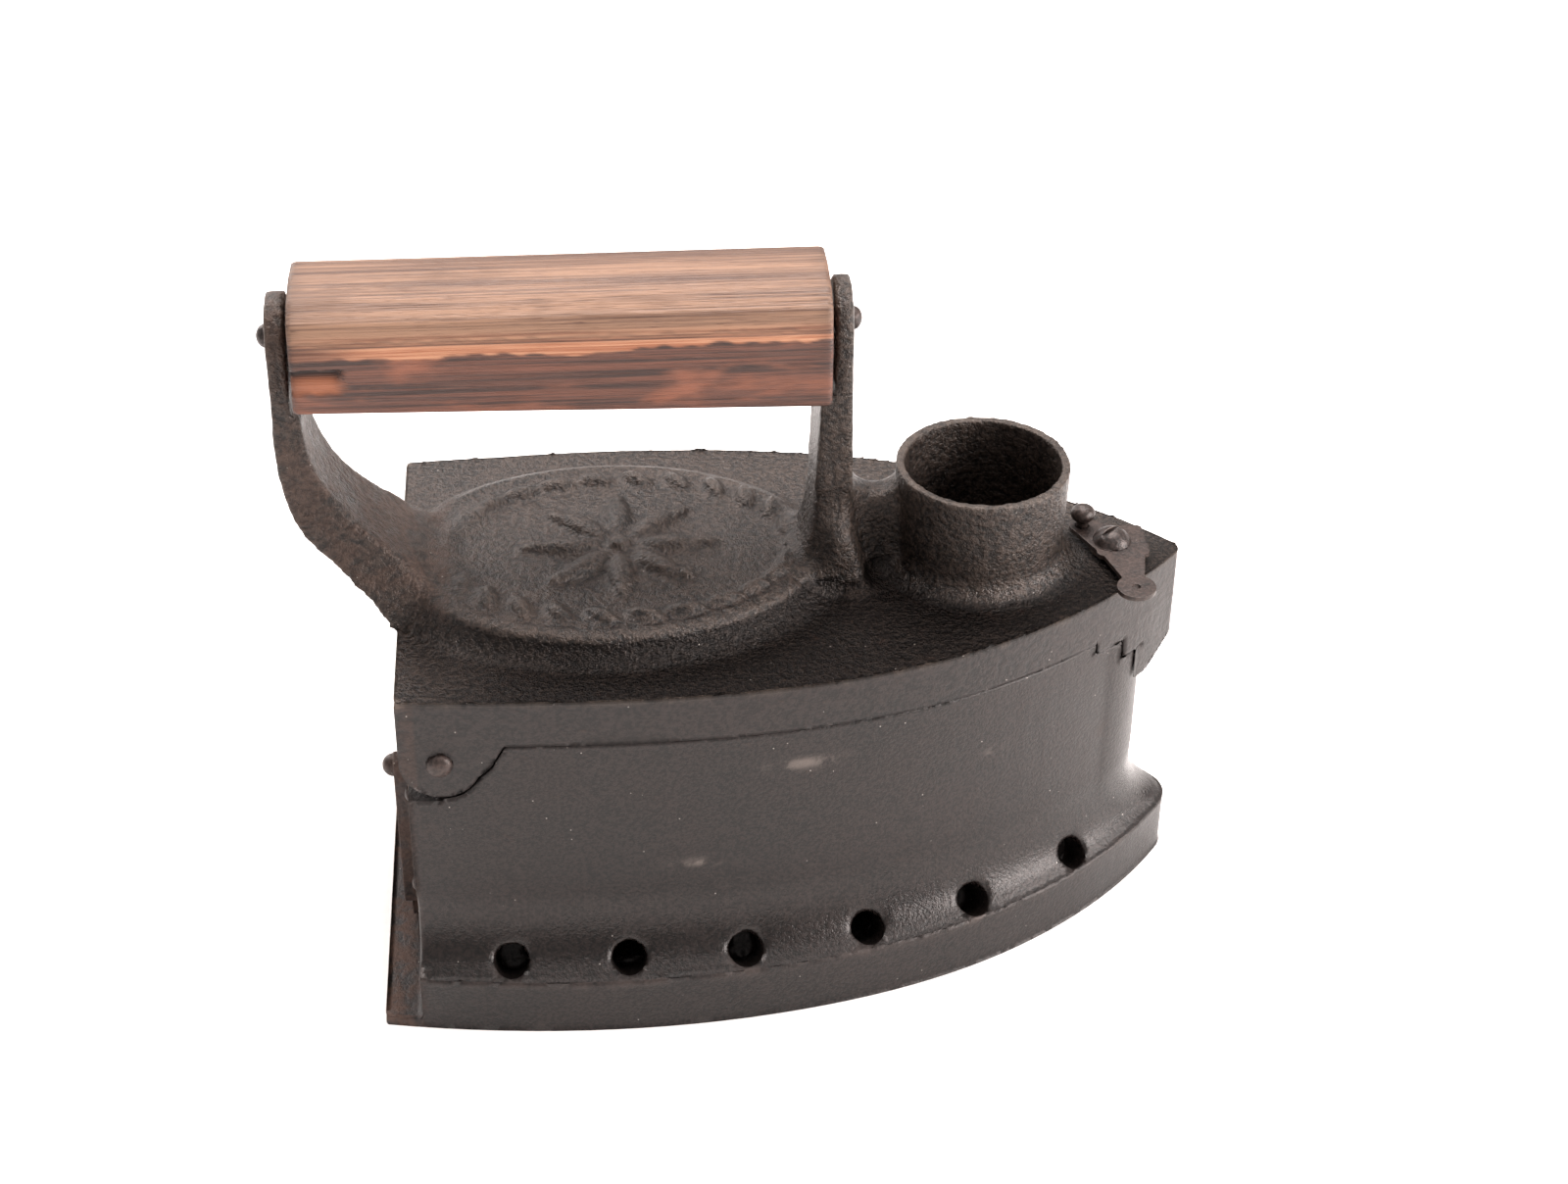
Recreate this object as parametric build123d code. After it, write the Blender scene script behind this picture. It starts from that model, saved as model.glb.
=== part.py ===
from build123d import *
import os
from math import cos, radians, sin

# A charcoal iron. Millimetres, +Z up. The origin is the middle of the sole's flat face,
# the nose points along +X and the hinge is at the rear.

os.makedirs("parts", exist_ok=True)

# ---- outlines: half widths at stations along the iron, then the middle of the nose ----
SOLE_SIDE = ((-100.0, 58.6), (-43.0, 64.3), (0.0, 60.6), (43.0, 48.2), (71.5, 31.8), (98.1, 5.5))
SOLE_NOSE_X = 100.0
WALL_SIDE = ((-90.9, 51.4), (-42.0, 53.6), (-2.0, 51.3), (37.0, 42.0), (62.0, 30.2), (78.0, 19.1))
WALL_NOSE_X = 89.6
LID_SIDE = ((-92.4, 51.3), (-42.0, 53.6), (-2.0, 51.3), (37.0, 42.0), (69.6, 25.3), (95.8, 2.9))
LID_NOSE_X = 97.2
FLARE_REAR_HALF = 60.4

# ---- body casting ----
LEDGE_HEIGHT = 2.6
BAND_HEIGHT = 15.5
FLARE_FOOT = 0.96
FLARE_STEPS = ((19.0, 0.5), (23.0, 0.2), (27.5, 0.05), (31.0, 0.0))
WALL_THICKNESS = 4.0
CHAMBER_FLOOR = 9.0
JOINT_HEIGHT = 78.3
SEAM = 0.15
RUNNING_GAP = 0.4
REAR_WALL_X = -90.9
REAR_WALL_TOP = 62.8
BODY_STEPS = ((74.0, 75.0), (81.5, 69.5))
KEEPER_THICKNESS = 3.0

# ---- side vents ----
VENT_DIAMETER = 7.8
VENT_SPOTS = ((-69.0, 59.0), (-41.0, 59.7), (-12.8, 58.8), (17.3, 53.0), (44.6, 44.6), (71.6, 28.4))
VENT_HEIGHT = 18.6
VENT_FALL_DEG = 32.0

# ---- draft opening and its lifting gate on the rear wall ----
DRAFT_WIDTH = 38.0
DRAFT_SILL = 9.0
DRAFT_TOP = 30.0
GATE_WIDTH = 52.0
GATE_BOTTOM = 3.0
GATE_TOP = 38.5
GATE_THICKNESS = 2.0
GATE_CORNER = 6.0
GATE_FACE_X = -94.1
GATE_TRAVEL = 16.0
GATE_GAP = 0.3
GUIDE_LENGTH = 44.0
GUIDE_BOTTOM = 12.0
GUIDE_OVERLAP = 3.0
GUIDE_LIP = 1.4
GUIDE_FOOT = 6.0
GUIDE_RIVET_RADIUS = 1.5
GUIDE_RIVET_HEAD = (2.1, 1.2)
GUIDE_RIVET_TAIL = (2.3, 0.9)
GUIDE_RIVET_INSET = 8.0
PEG_DIAMETER = 6.2
PEG_HEIGHT = 33.6
PEG_TIP_X = -100.9
PEG_SHANK = 3.0

# ---- fire grate ----
GRATE_HEIGHT = 24.0
GRATE_THICKNESS = 3.5
GRATE_GAP = 1.5
GRATE_REAR_X = -84.0
GRATE_NOSE_X = 60.0
GRATE_SLOT_WIDTH = 5.0
GRATE_PITCH = 11.0
GRATE_ROWS = ((-84.0, 25.0, (-30.0, 0.0, 30.0)), (10.0, 25.0, (-14.0, 14.0)), (30.0, 15.0, (-14.0, 14.0)))
LUG_DEPTH = 5.0
LUG_LENGTH = 12.0
LUG_XS = (-72.0, -10.0, 42.0)

# ---- hinge ----
PIVOT_X = -83.0
PIVOT_Z = 73.3
LOBE_RADIUS = 9.4
EAR_INNER_Y = 47.5
EAR_FRONT = ((-74.4, 69.5), (-71.4, 72.5), (-68.0, 78.6))
BOSS_INNER_Y = 42.8
BOSS_RADIUS = 6.0
RIVET_DIAMETER = 4.4
RIVET_FIT = 0.05
RIVET_HEAD = 6.4
RIVET_HEAD_HEIGHT = 1.9
RIVET_SEAT_Y = 52.0
RIVET_WASHER = 9.0
RIVET_WASHER_THICKNESS = 1.2
RIVET_HEAD_GAP = 0.3
RIVET_TAIL = (3.0, 1.2)

# ---- lid casting ----
LID_TOP = 91.2
LID_PLATE = 5.0
LID_HOLLOW_X = (-88.4, 72.0)
BEAK_X = 84.0
BEAK_BOTTOM = 60.4
BEAK_SLOPE = ((98.6, 68.5), (89.8, 60.4))
ROLL_THICKNESS = 3.2
MEDALLION_X = -42.5
MEDALLION_HALF = (52.0, 38.5)
MEDALLION_TOP = 97.4
MEDALLION_FOOT = 4.0
MEDALLION_HOLLOW = (46.0, 33.5)
CHIMNEY_X = 47.7
CHIMNEY_TOP = 117.8
CHIMNEY_RADIUS = 21.2
CHIMNEY_FOOT_RADIUS = 20.2
CHIMNEY_WALL = 2.7
CHIMNEY_FILLET = 4.0

# ---- handle ----
ROD_HEIGHT = 157.8
ROD_DIAMETER = 5.0
ROD_FIT = 0.2
ROD_HEAD = 6.0
ROD_HEAD_HEIGHT = 2.4
POST_FRONT_X = (10.2, 15.4)
POST_REAR_X = (-118.0, -112.6)
POST_HALF = 10.5
FRONT_STRAP = (
    (2.0, 91.0), (5.2, 108.0), (6.3, 121.0), (7.2, 142.6), (10.2, 142.8),
    (15.4, 142.8), (16.0, 108.0), (20.4, 91.0),
)
FRONT_STRAP_TOP = 142.8
FRONT_FOOT = ((1.0, 91.0), (7.6, 99.0), (9.6, 108.0), (15.4, 108.0), (18.4, 97.0), (20.4, 91.0))
FRONT_FOOT_HALF = 15.0
WEB = ((14.4, 91.0), (14.4, 118.0), (18.0, 113.4), (22.5, 112.0), (26.0, 113.2), (29.0, 115.8), (31.0, 91.0))
WEB_HALF = 5.0
REAR_OUTER = ((-118.3, 139.0), (-118.0, 127.0), (-114.2, 112.0), (-104.0, 101.0), (-94.0, 90.5))
REAR_INNER = ((-80.0, 93.0), (-89.5, 104.0), (-98.6, 112.0), (-107.2, 124.0), (-110.4, 141.5))
REAR_FAN = ((POST_HALF, 150.0), (POST_HALF, 118.0), (14.0, 104.0), (22.0, 90.0))
GRIP_X = (-111.8, 9.4)
GRIP_HALF = 17.0
GRIP_BOTTOM = 146.0
GRIP_DROP = 2.4
GRIP_SHOULDER = 163.0
GRIP_ROOF = ((14.9, 168.7), (9.4, 171.8))
GRIP_CREST = 172.8

# ---- heat shield under the lid ----
SHIELD_HEIGHT = 80.5
SHIELD_THICKNESS = 1.2
SHIELD_X = (-72.0, 14.0)
SHIELD_HALF = 36.0
SHIELD_CORNER = 8.0
SHIELD_RIVET = 3.0
SHIELD_RIVET_DEPTH = 3.0
SHIELD_RIVET_HEAD = (3.0, 1.3)
SHIELD_SPOTS = ((-60.0, -18.0), (-60.0, 18.0), (-16.0, -18.0), (-16.0, 18.0))
SPACER_RADII = (4.0, 2.1)

# ---- latch on the nose ----
LATCH_X = 80.5
LEVER_HEIGHT = 92.2
LEVER_THICKNESS = 1.4
LEVER_PLATE = (13.0, 13.0)
LEVER_PLATE_SHIFT = 2.0
LEVER_ARM = ((-9.1, 6.2), (-4.0, -5.0), (3.0, 6.0), (-5.1, 10.2))
LEVER_NECK = ((-3.5, -5.0), (-0.1, -17.0), (5.1, -17.0), (7.5, -5.0))
EYE_SPOT = (83.0, -20.0)
EYE_RADIUS = 4.8
EYE_HOLE = 1.8
SCREW_DIAMETER = 5.0
SCREW_FIT = 0.08
SCREW_HEAD_RADIUS = 4.8
SCREW_HEAD_HEIGHT = 3.4
SCREW_END = 62.0
SLOT_SIZE = (1.2, 1.3)
SLOT_HEADING = 35.0
KNOB_SPOT = (74.4, 7.2)
KNOB_RADIUS = 3.2
KNOB_FLATNESS = 0.78
KNOB_CENTRE_Z = 97.0
KNOB_STEM = 1.7
TONGUE_HEIGHT = 64.6
TONGUE_THICKNESS = 2.6
TONGUE_LENGTH = 20.0
TONGUE_WIDTH = 6.0
KEEPER_GAP = 0.5
KEEPER_SPAN = (58.0, 70.0)
KEEPER_REACH = 10.5
NOSE_BOSS_RADIUS = 6.5
NOSE_BOSS_END = 68.4
NOSE_BOSS_FLAT_X = 84.6
NUT_ACROSS = 8.0
NUT_HEIGHT = 1.9
LATCH_WASHER_RADIUS = 5.6


# ---- helpers ----
def pin(radius, x, y, z0, z1):
    """An upright round bar from z0 to z1."""
    return Pos(x, y, (z0 + z1) / 2) * Cylinder(radius, z1 - z0)


def across(radius, x, z, y0, y1):
    """A round bar along Y."""
    return Pos(x, (y0 + y1) / 2, z) * Rot(90, 0, 0) * Cylinder(radius, abs(y1 - y0))


def lengthways(radius, y, z, x0, x1):
    """A round bar along X."""
    return Pos((x0 + x1) / 2, y, z) * Rot(0, 90, 0) * Cylinder(radius, x1 - x0)


def block(x0, x1, y0, y1, z0, z1):
    """A box between two corners."""
    return Pos((x0 + x1) / 2, (y0 + y1) / 2, (z0 + z1) / 2) * Box(x1 - x0, y1 - y0, z1 - z0)


def outline(side, nose_x, z=0.0):
    """The iron's plan shape: a straight rear, two bowed sides and a rounded nose."""
    left = Spline(*[(x, w, z) for x, w in side])
    right = Spline(*[(x, -w, z) for x, w in side])
    rear = Line(right @ 0, left @ 0)
    nose = ThreePointArc(left @ 1, (nose_x, 0, z), right @ 1)
    return Face(Wire([rear, left, nose, right]))


def polygon(points):
    """A flat face with straight edges through the points."""
    return Face(Wire.make_polygon([Vector(*point) for point in points], close=True))


def inset(side, nose_x, amount):
    """The same plan shape, with every edge moved in by an amount (or out, if it is negative)."""
    moved = []
    for index, (x, w) in enumerate(side):
        before = side[max(index - 1, 0)]
        after = side[min(index + 1, len(side) - 1)]
        along = Vector(after[0] - before[0], after[1] - before[1], 0).normalized()
        moved.append((x + along.Y * amount, w - along.X * amount))
    # The rear edge moves forward, with its corner still on the moved side.
    rear_x = side[0][0] + amount
    slope = (moved[1][1] - moved[0][1]) / (moved[1][0] - moved[0][0])
    moved[0] = (rear_x, moved[0][1] + slope * (rear_x - moved[0][0]))
    return outline(moved, nose_x - amount)


def prism(face, height):
    """A flat face carried straight up."""
    return Solid.extrude(face, Vector(0, 0, height))


def side_profile(points, y0, y1):
    """A solid with a closed outline of (x, z) points, between two distances across the iron."""
    face = polygon([(x, y0, z) for x, z in points])
    return Solid.extrude(face, Vector(0, y1 - y0, 0))


def both_sides(shape):
    """A shape and its mirror image across the iron's middle plane."""
    return [shape, mirror(shape, about=Plane.XZ)]


def blend(amount):
    """The plan shape between the wall (0) and the sole's band (1)."""
    base = ((-90.9, FLARE_REAR_HALF),) + SOLE_SIDE[1:]
    side = [
        (wx + amount * (sx - wx), wy + amount * (sy - wy))
        for (wx, wy), (sx, sy) in zip(WALL_SIDE, base)
    ]
    return side, WALL_NOSE_X + amount * (SOLE_NOSE_X - WALL_NOSE_X)


def ear_outline(grow):
    """The lid's ear seen from the side: a lobe round the pivot with a sloping front."""
    lobe = across(LOBE_RADIUS + grow, PIVOT_X, PIVOT_Z, -60, 60)
    back = PIVOT_X - LOBE_RADIUS - grow
    top = EAR_FRONT[-1][1]
    front = [(x + grow, z - grow) for x, z in EAR_FRONT[:-1]] + [(EAR_FRONT[-1][0] + grow, top)]
    return lobe + side_profile([(PIVOT_X, PIVOT_Z), *front, (back, top), (back, PIVOT_Z)], -60, 60)


# ---- body casting ----
def flare():
    """The sole's band and the hollow curve that rises from it to the wall."""
    band = prism(outline(SOLE_SIDE, SOLE_NOSE_X), BAND_HEIGHT)
    band -= block(-110, REAR_WALL_X, -70, 70, LEDGE_HEIGHT, 20)
    side, nose = blend(FLARE_FOOT)
    sections = [outline(side, nose, BAND_HEIGHT)]
    for height, amount in FLARE_STEPS:
        step_side, step_nose = blend(amount)
        sections.append(outline(step_side, step_nose, height))
    return band + loft(sections)


def vents():
    """Slanting air holes through the flare on both sides."""
    holes = []
    for index, (x, y) in enumerate(VENT_SPOTS):
        before = VENT_SPOTS[max(index - 1, 0)]
        after = VENT_SPOTS[min(index + 1, len(VENT_SPOTS) - 1)]
        along = Vector(after[0] - before[0], after[1] - before[1], 0).normalized()
        outward = Vector(-along.Y, along.X, 0)
        fall = radians(VENT_FALL_DEG)
        axis = outward * cos(fall) + Vector(0, 0, sin(fall))
        start = Vector(x, y, VENT_HEIGHT) - axis * 13
        hole = Solid.make_cylinder(VENT_DIAMETER / 2, 30, Plane(start, z_dir=axis))
        holes += both_sides(hole)
    return holes


def grate_lugs():
    """Ledges inside the walls that carry the grate."""
    room = prism(outline(WALL_SIDE, WALL_NOSE_X), JOINT_HEIGHT)
    inner = chamber(0.0, WALL_THICKNESS + LUG_DEPTH)
    lugs = None
    for x in LUG_XS:
        bar = block(x - LUG_LENGTH / 2, x + LUG_LENGTH / 2, -60, 60, CHAMBER_FLOOR - 1, GRATE_HEIGHT)
        lugs = bar if lugs is None else lugs + bar
    return (lugs & room) - inner


def chamber(floor, amount):
    """The hollow inside the walls, from floor up."""
    return Pos(0, 0, floor) * prism(inset(WALL_SIDE, WALL_NOSE_X, amount), 100)


def hinge_bosses():
    """Bosses inside the rear corners that hold the hinge rivets."""
    boss = across(BOSS_RADIUS, PIVOT_X, PIVOT_Z, -50.5, -BOSS_INNER_Y)
    foot = block(PIVOT_X - 2, PIVOT_X + BOSS_RADIUS, -50.5, -BOSS_INNER_Y, 54, PIVOT_Z)
    brace = block(REAR_WALL_X + 1, PIVOT_X, -50.5, -BOSS_INNER_Y, 54, REAR_WALL_TOP)
    return both_sides(boss + foot + brace)


def keeper():
    """The lip inside the nose that the latch tongue turns under."""
    top = TONGUE_HEIGHT + KEEPER_GAP
    lip = block(*KEEPER_SPAN, KEEPER_REACH, 40, top, top + KEEPER_THICKNESS)
    return lip & prism(outline(WALL_SIDE, WALL_NOSE_X), JOINT_HEIGHT)


def body_casting():
    wall = prism(outline(WALL_SIDE, WALL_NOSE_X), JOINT_HEIGHT)
    body = flare() + wall
    body -= chamber(CHAMBER_FLOOR, WALL_THICKNESS)
    body -= block(-99, REAR_WALL_X + WALL_THICKNESS + 1, -60, 60, REAR_WALL_TOP, 90)
    body += grate_lugs()
    for boss in hinge_bosses():
        body += boss
    body += keeper()
    # The corners are cut away for the lid's ears, and the rear wall stops below the rolled edge.
    between_ears = EAR_INNER_Y - GATE_GAP
    body -= ear_outline(RUNNING_GAP) - block(-95, -60, -between_ears, between_ears, 50, 90)
    for slot in both_sides(block(-99, PIVOT_X, -60, -between_ears, REAR_WALL_TOP, 90)):
        body -= slot
    for x, top in BODY_STEPS:
        body -= block(x, 100, -40, 40, top, 90)
    for hole in vents():
        body -= hole
    body -= block(-99, -80, -DRAFT_WIDTH / 2, DRAFT_WIDTH / 2, DRAFT_SILL, DRAFT_TOP)
    for spot in both_sides(across(RIVET_DIAMETER / 2, PIVOT_X, PIVOT_Z, -60, -30)):
        body -= spot
    for x, y, z in guide_rivet_spots():
        body -= lengthways(GUIDE_RIVET_RADIUS, y, z, -99, -80)
    return body


# ---- draft gate ----
def gate_plate_x():
    return (GATE_FACE_X, GATE_FACE_X + GATE_THICKNESS)


def guide_rivet_spots():
    """Rivet centres of the two guide strips."""
    y = GATE_WIDTH / 2 + GATE_GAP + (GUIDE_LIP + GUIDE_FOOT) / 2 - 0.1
    zs = (GUIDE_BOTTOM + GUIDE_RIVET_INSET, GUIDE_BOTTOM + GUIDE_LENGTH - GUIDE_RIVET_INSET)
    return [(0.0, side * y, z) for side in (-1, 1) for z in zs]


def gate_guide(side):
    """A folded strip on the rear wall that holds one edge of the gate."""
    edge = GATE_WIDTH / 2 + GATE_GAP
    back = REAR_WALL_X
    front = GATE_FACE_X - GATE_GAP
    points = [
        (back, edge),
        (front, edge),
        (front, edge - GUIDE_OVERLAP),
        (front - GUIDE_LIP, edge - GUIDE_OVERLAP),
        (front - GUIDE_LIP, edge + GUIDE_LIP),
        (back - GUIDE_LIP, edge + GUIDE_LIP),
        (back - GUIDE_LIP, edge + GUIDE_FOOT),
        (back, edge + GUIDE_FOOT),
    ]
    strip = prism(polygon([(x, side * y, GUIDE_BOTTOM) for x, y in points]), GUIDE_LENGTH)
    for _, y, z in guide_rivet_spots():
        strip -= lengthways(GUIDE_RIVET_RADIUS, y, z, -99, -80)
    return strip


def guide_rivets():
    """Round-headed rivets through the guide strips and the rear wall."""
    outer = REAR_WALL_X - GUIDE_LIP
    inner = REAR_WALL_X + WALL_THICKNESS
    tail_radius, tail_height = GUIDE_RIVET_TAIL
    rivets = []
    for _, y, z in guide_rivet_spots():
        shank = lengthways(GUIDE_RIVET_RADIUS, y, z, outer, inner + 0.8)
        head = Pos(outer, y, z) * Rot(0, -90, 0) * dome(*GUIDE_RIVET_HEAD)
        tail = lengthways(tail_radius, y, z, inner, inner + tail_height)
        rivets.append(shank + head + tail)
    return rivets


def dome(radius, height):
    """A shallow rivet head on the XY plane, rising along Z."""
    ball = (radius**2 + height**2) / (2 * height)
    cap = Pos(0, 0, height - ball) * Sphere(ball)
    return cap & Pos(0, 0, height / 2) * Box(2 * radius + 1, 2 * radius + 1, height)


def damper_gate():
    x0, x1 = gate_plate_x()
    half = GATE_WIDTH / 2
    plate = block(x0, x1, -half, half, GATE_BOTTOM, GATE_TOP)
    low_corners = plate.edges().filter_by(Axis.X).group_by(Axis.Z)[0]
    plate = fillet(low_corners, GATE_CORNER)
    high_corners = plate.edges().filter_by(Axis.X).group_by(Axis.Z)[-1]
    plate = fillet(high_corners, GATE_CORNER / 3)
    return plate - lengthways(PEG_SHANK / 2, 0, PEG_HEIGHT, -99, -80)


def damper_peg():
    """The round-ended peg that lifts the gate, riveted over behind it."""
    x0, x1 = gate_plate_x()
    radius = PEG_DIAMETER / 2
    ball_x = PEG_TIP_X + radius
    peg = lengthways(radius, 0, PEG_HEIGHT, ball_x, x0) + Pos(ball_x, 0, PEG_HEIGHT) * Sphere(radius)
    return peg + lengthways(PEG_SHANK / 2, 0, PEG_HEIGHT, x0, x1)


# ---- fire grate ----
def fire_grate():
    """A loose slotted plate that keeps the coals above the air holes."""
    plate = chamber(GRATE_HEIGHT, WALL_THICKNESS + GRATE_GAP)
    plate &= block(GRATE_REAR_X, GRATE_NOSE_X, -60, 60, GRATE_HEIGHT, GRATE_HEIGHT + GRATE_THICKNESS)
    columns = int((GRATE_NOSE_X - GRATE_REAR_X) / GRATE_PITCH)
    for column in range(columns):
        x = GRATE_REAR_X + GRATE_PITCH * (column + 0.75)
        # Each row of slots suits the width of the iron where it lies.
        _, length, ys = [row for row in GRATE_ROWS if row[0] <= x][-1]
        for y in ys:
            slot = Rot(0, 0, 90) * SlotOverall(length, GRATE_SLOT_WIDTH)
            plate -= extrude(Pos(x, y, GRATE_HEIGHT - 1) * slot, 10, dir=(0, 0, 1))
    return plate


# ---- hinge rivets ----
def hinge_rivet(side):
    """A pivot rivet, headed outside the ear and closed over a washer inside the boss."""
    under_head = -RIVET_SEAT_Y - RIVET_HEAD_GAP
    over_washer = -BOSS_INNER_Y + RIVET_WASHER_THICKNESS
    tail_radius, tail_height = RIVET_TAIL
    shank = across(RIVET_DIAMETER / 2, PIVOT_X, PIVOT_Z, under_head, over_washer + 1)
    head = Pos(PIVOT_X, under_head, PIVOT_Z) * Rot(90, 0, 0) * dome(RIVET_HEAD / 2, RIVET_HEAD_HEIGHT)
    tail = across(tail_radius, PIVOT_X, PIVOT_Z, over_washer, over_washer + tail_height)
    rivet = shank + head + tail
    return rivet if side < 0 else mirror(rivet, about=Plane.XZ)


def hinge_washers():
    """Burr washers that the rivets are closed over, inside the body."""
    start = -BOSS_INNER_Y
    ring = across(RIVET_WASHER / 2, PIVOT_X, PIVOT_Z, start, start + RIVET_WASHER_THICKNESS)
    ring -= across(RIVET_DIAMETER / 2, PIVOT_X, PIVOT_Z, start - 1, start + 3)
    return both_sides(ring)


# ---- lid casting ----
def lid_shell():
    """The plate with its deep edge, hollow underneath, stepped down to follow the body's nose."""
    face = outline(LID_SIDE, LID_NOSE_X)
    shell = Pos(0, 0, JOINT_HEIGHT + SEAM) * prism(face, LID_TOP - JOINT_HEIGHT - SEAM)
    hollow_face = inset(WALL_SIDE, WALL_NOSE_X, WALL_THICKNESS)
    hollow = Pos(0, 0, 70) * prism(hollow_face, LID_TOP - LID_PLATE - 70)
    shell -= hollow & block(*LID_HOLLOW_X, -60, 60, 60, LID_TOP)
    column = prism(face, LID_TOP)
    ends = [x for x, _ in BODY_STEPS[1:]] + [110]
    for (x, top), end in zip(BODY_STEPS, ends):
        tread = block(x + RUNNING_GAP, end + RUNNING_GAP, -60, 60, top + SEAM, LID_TOP - 1)
        shell += column & tread
    return shell, column


def beak(column):
    """The chin that hangs in front of the body's nose."""
    chin = column & block(BEAK_X, 110, -60, 60, BEAK_BOTTOM, 80)
    (front_x, front_z), (low_x, low_z) = BEAK_SLOPE
    slope = [(80, 50), (front_x, 50), (front_x, front_z), (low_x, low_z), (80, low_z)]
    chin -= side_profile(slope, -60, 60)
    nose = inset(WALL_SIDE, WALL_NOSE_X, -RUNNING_GAP)
    clear = Pos(0, 0, 40) * prism(nose, BODY_STEPS[1][1] + SEAM - 40)
    return chin - clear


def ears():
    """Flat cheeks at the rear corners, which turn on the hinge rivets."""
    column = Pos(0, 0, 50) * prism(outline(LID_SIDE, LID_NOSE_X), 35)
    cheeks = (ear_outline(0) & column) - block(-110, -50, -EAR_INNER_Y, EAR_INNER_Y, 40, 100)
    return cheeks


def rolled_edge():
    """The rear edge, curled under round the pivot line between the cheeks."""
    end = EAR_INNER_Y + 0.5
    roll = across(LOBE_RADIUS, PIVOT_X, PIVOT_Z, -end, end)
    roll -= across(LOBE_RADIUS - ROLL_THICKNESS, PIVOT_X, PIVOT_Z, -60, 60)
    keep = block(-100, PIVOT_X - 1, -60, 60, 50, PIVOT_Z)
    back = PIVOT_X - LOBE_RADIUS
    wall = block(back, back + ROLL_THICKNESS, -end, end, PIVOT_Z - 0.1, LID_TOP - 2)
    strip = (roll & keep) + wall
    clear_of_boss = block(-100, -60, -EAR_INNER_Y, -BOSS_INNER_Y + GATE_GAP, 50, JOINT_HEIGHT)
    for part in both_sides(clear_of_boss):
        strip -= part
    return strip


def medallion():
    """The raised oval on top, cut off square at the rear edge."""
    long, wide = MEDALLION_HALF
    rise = MEDALLION_TOP - LID_TOP
    foot = extrude(Ellipse(long + MEDALLION_FOOT, wide + MEDALLION_FOOT), rise / 2, taper=48)
    side = extrude(Ellipse(long + 1, wide + 1), rise, taper=16)
    base = Pos(MEDALLION_X, 0, LID_TOP)
    return base * (foot + side) + base * Pos(0, 0, -0.25) * extrude(Ellipse(long, wide), 0.5)


def chimney():
    """A slightly flared tube with a bead of metal round its foot."""
    outer = Pos(CHIMNEY_X, 0, (LID_TOP - 1 + CHIMNEY_TOP) / 2) * Cone(
        CHIMNEY_FOOT_RADIUS, CHIMNEY_RADIUS, CHIMNEY_TOP - LID_TOP + 1
    )
    foot = Pos(CHIMNEY_X, 0, LID_TOP + CHIMNEY_FILLET / 2 - 0.5) * Cone(
        CHIMNEY_FOOT_RADIUS + CHIMNEY_FILLET, CHIMNEY_FOOT_RADIUS + 0.3, CHIMNEY_FILLET + 1
    )
    return outer + foot


def front_post():
    """The strap ahead of the grip, thicker lower down, with a broad foot and a web to the chimney."""
    x0, x1 = POST_FRONT_X
    strap = block(x0, x1, -POST_HALF, POST_HALF, FRONT_STRAP_TOP - 1, ROD_HEIGHT)
    strap += lengthways(POST_HALF, 0, ROD_HEIGHT, x0, x1)
    strap += side_profile(FRONT_STRAP, -POST_HALF, POST_HALF)
    foot = side_profile(FRONT_FOOT, -FRONT_FOOT_HALF, FRONT_FOOT_HALF)
    web = side_profile(WEB, -WEB_HALF, WEB_HALF)
    return strap + foot + web


def rear_post():
    """The strap behind the grip: it bows out, then sweeps in to a fanned foot."""
    x0, x1 = POST_REAR_X
    half = REAR_FAN[-1][0] + 2
    outer = Spline(*[(x, -half, z) for x, z in REAR_OUTER])
    inner = Spline(*[(x, -half, z) for x, z in REAR_INNER])
    face = Face(Wire([outer, Line(outer @ 1, inner @ 0), inner, Line(inner @ 1, outer @ 0)]))
    bow = Solid.extrude(face, Vector(0, 2 * half, 0))
    fan = polygon([(-130, -y, z) for y, z in REAR_FAN] + [(-130, y, z) for y, z in reversed(REAR_FAN)])
    bow &= Solid.extrude(fan, Vector(70, 0, 0))
    strap = block(x0, x1, -POST_HALF, POST_HALF, REAR_OUTER[0][1] - 1, ROD_HEIGHT)
    strap += lengthways(POST_HALF, 0, ROD_HEIGHT, x0, x1)
    return bow + strap


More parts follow.
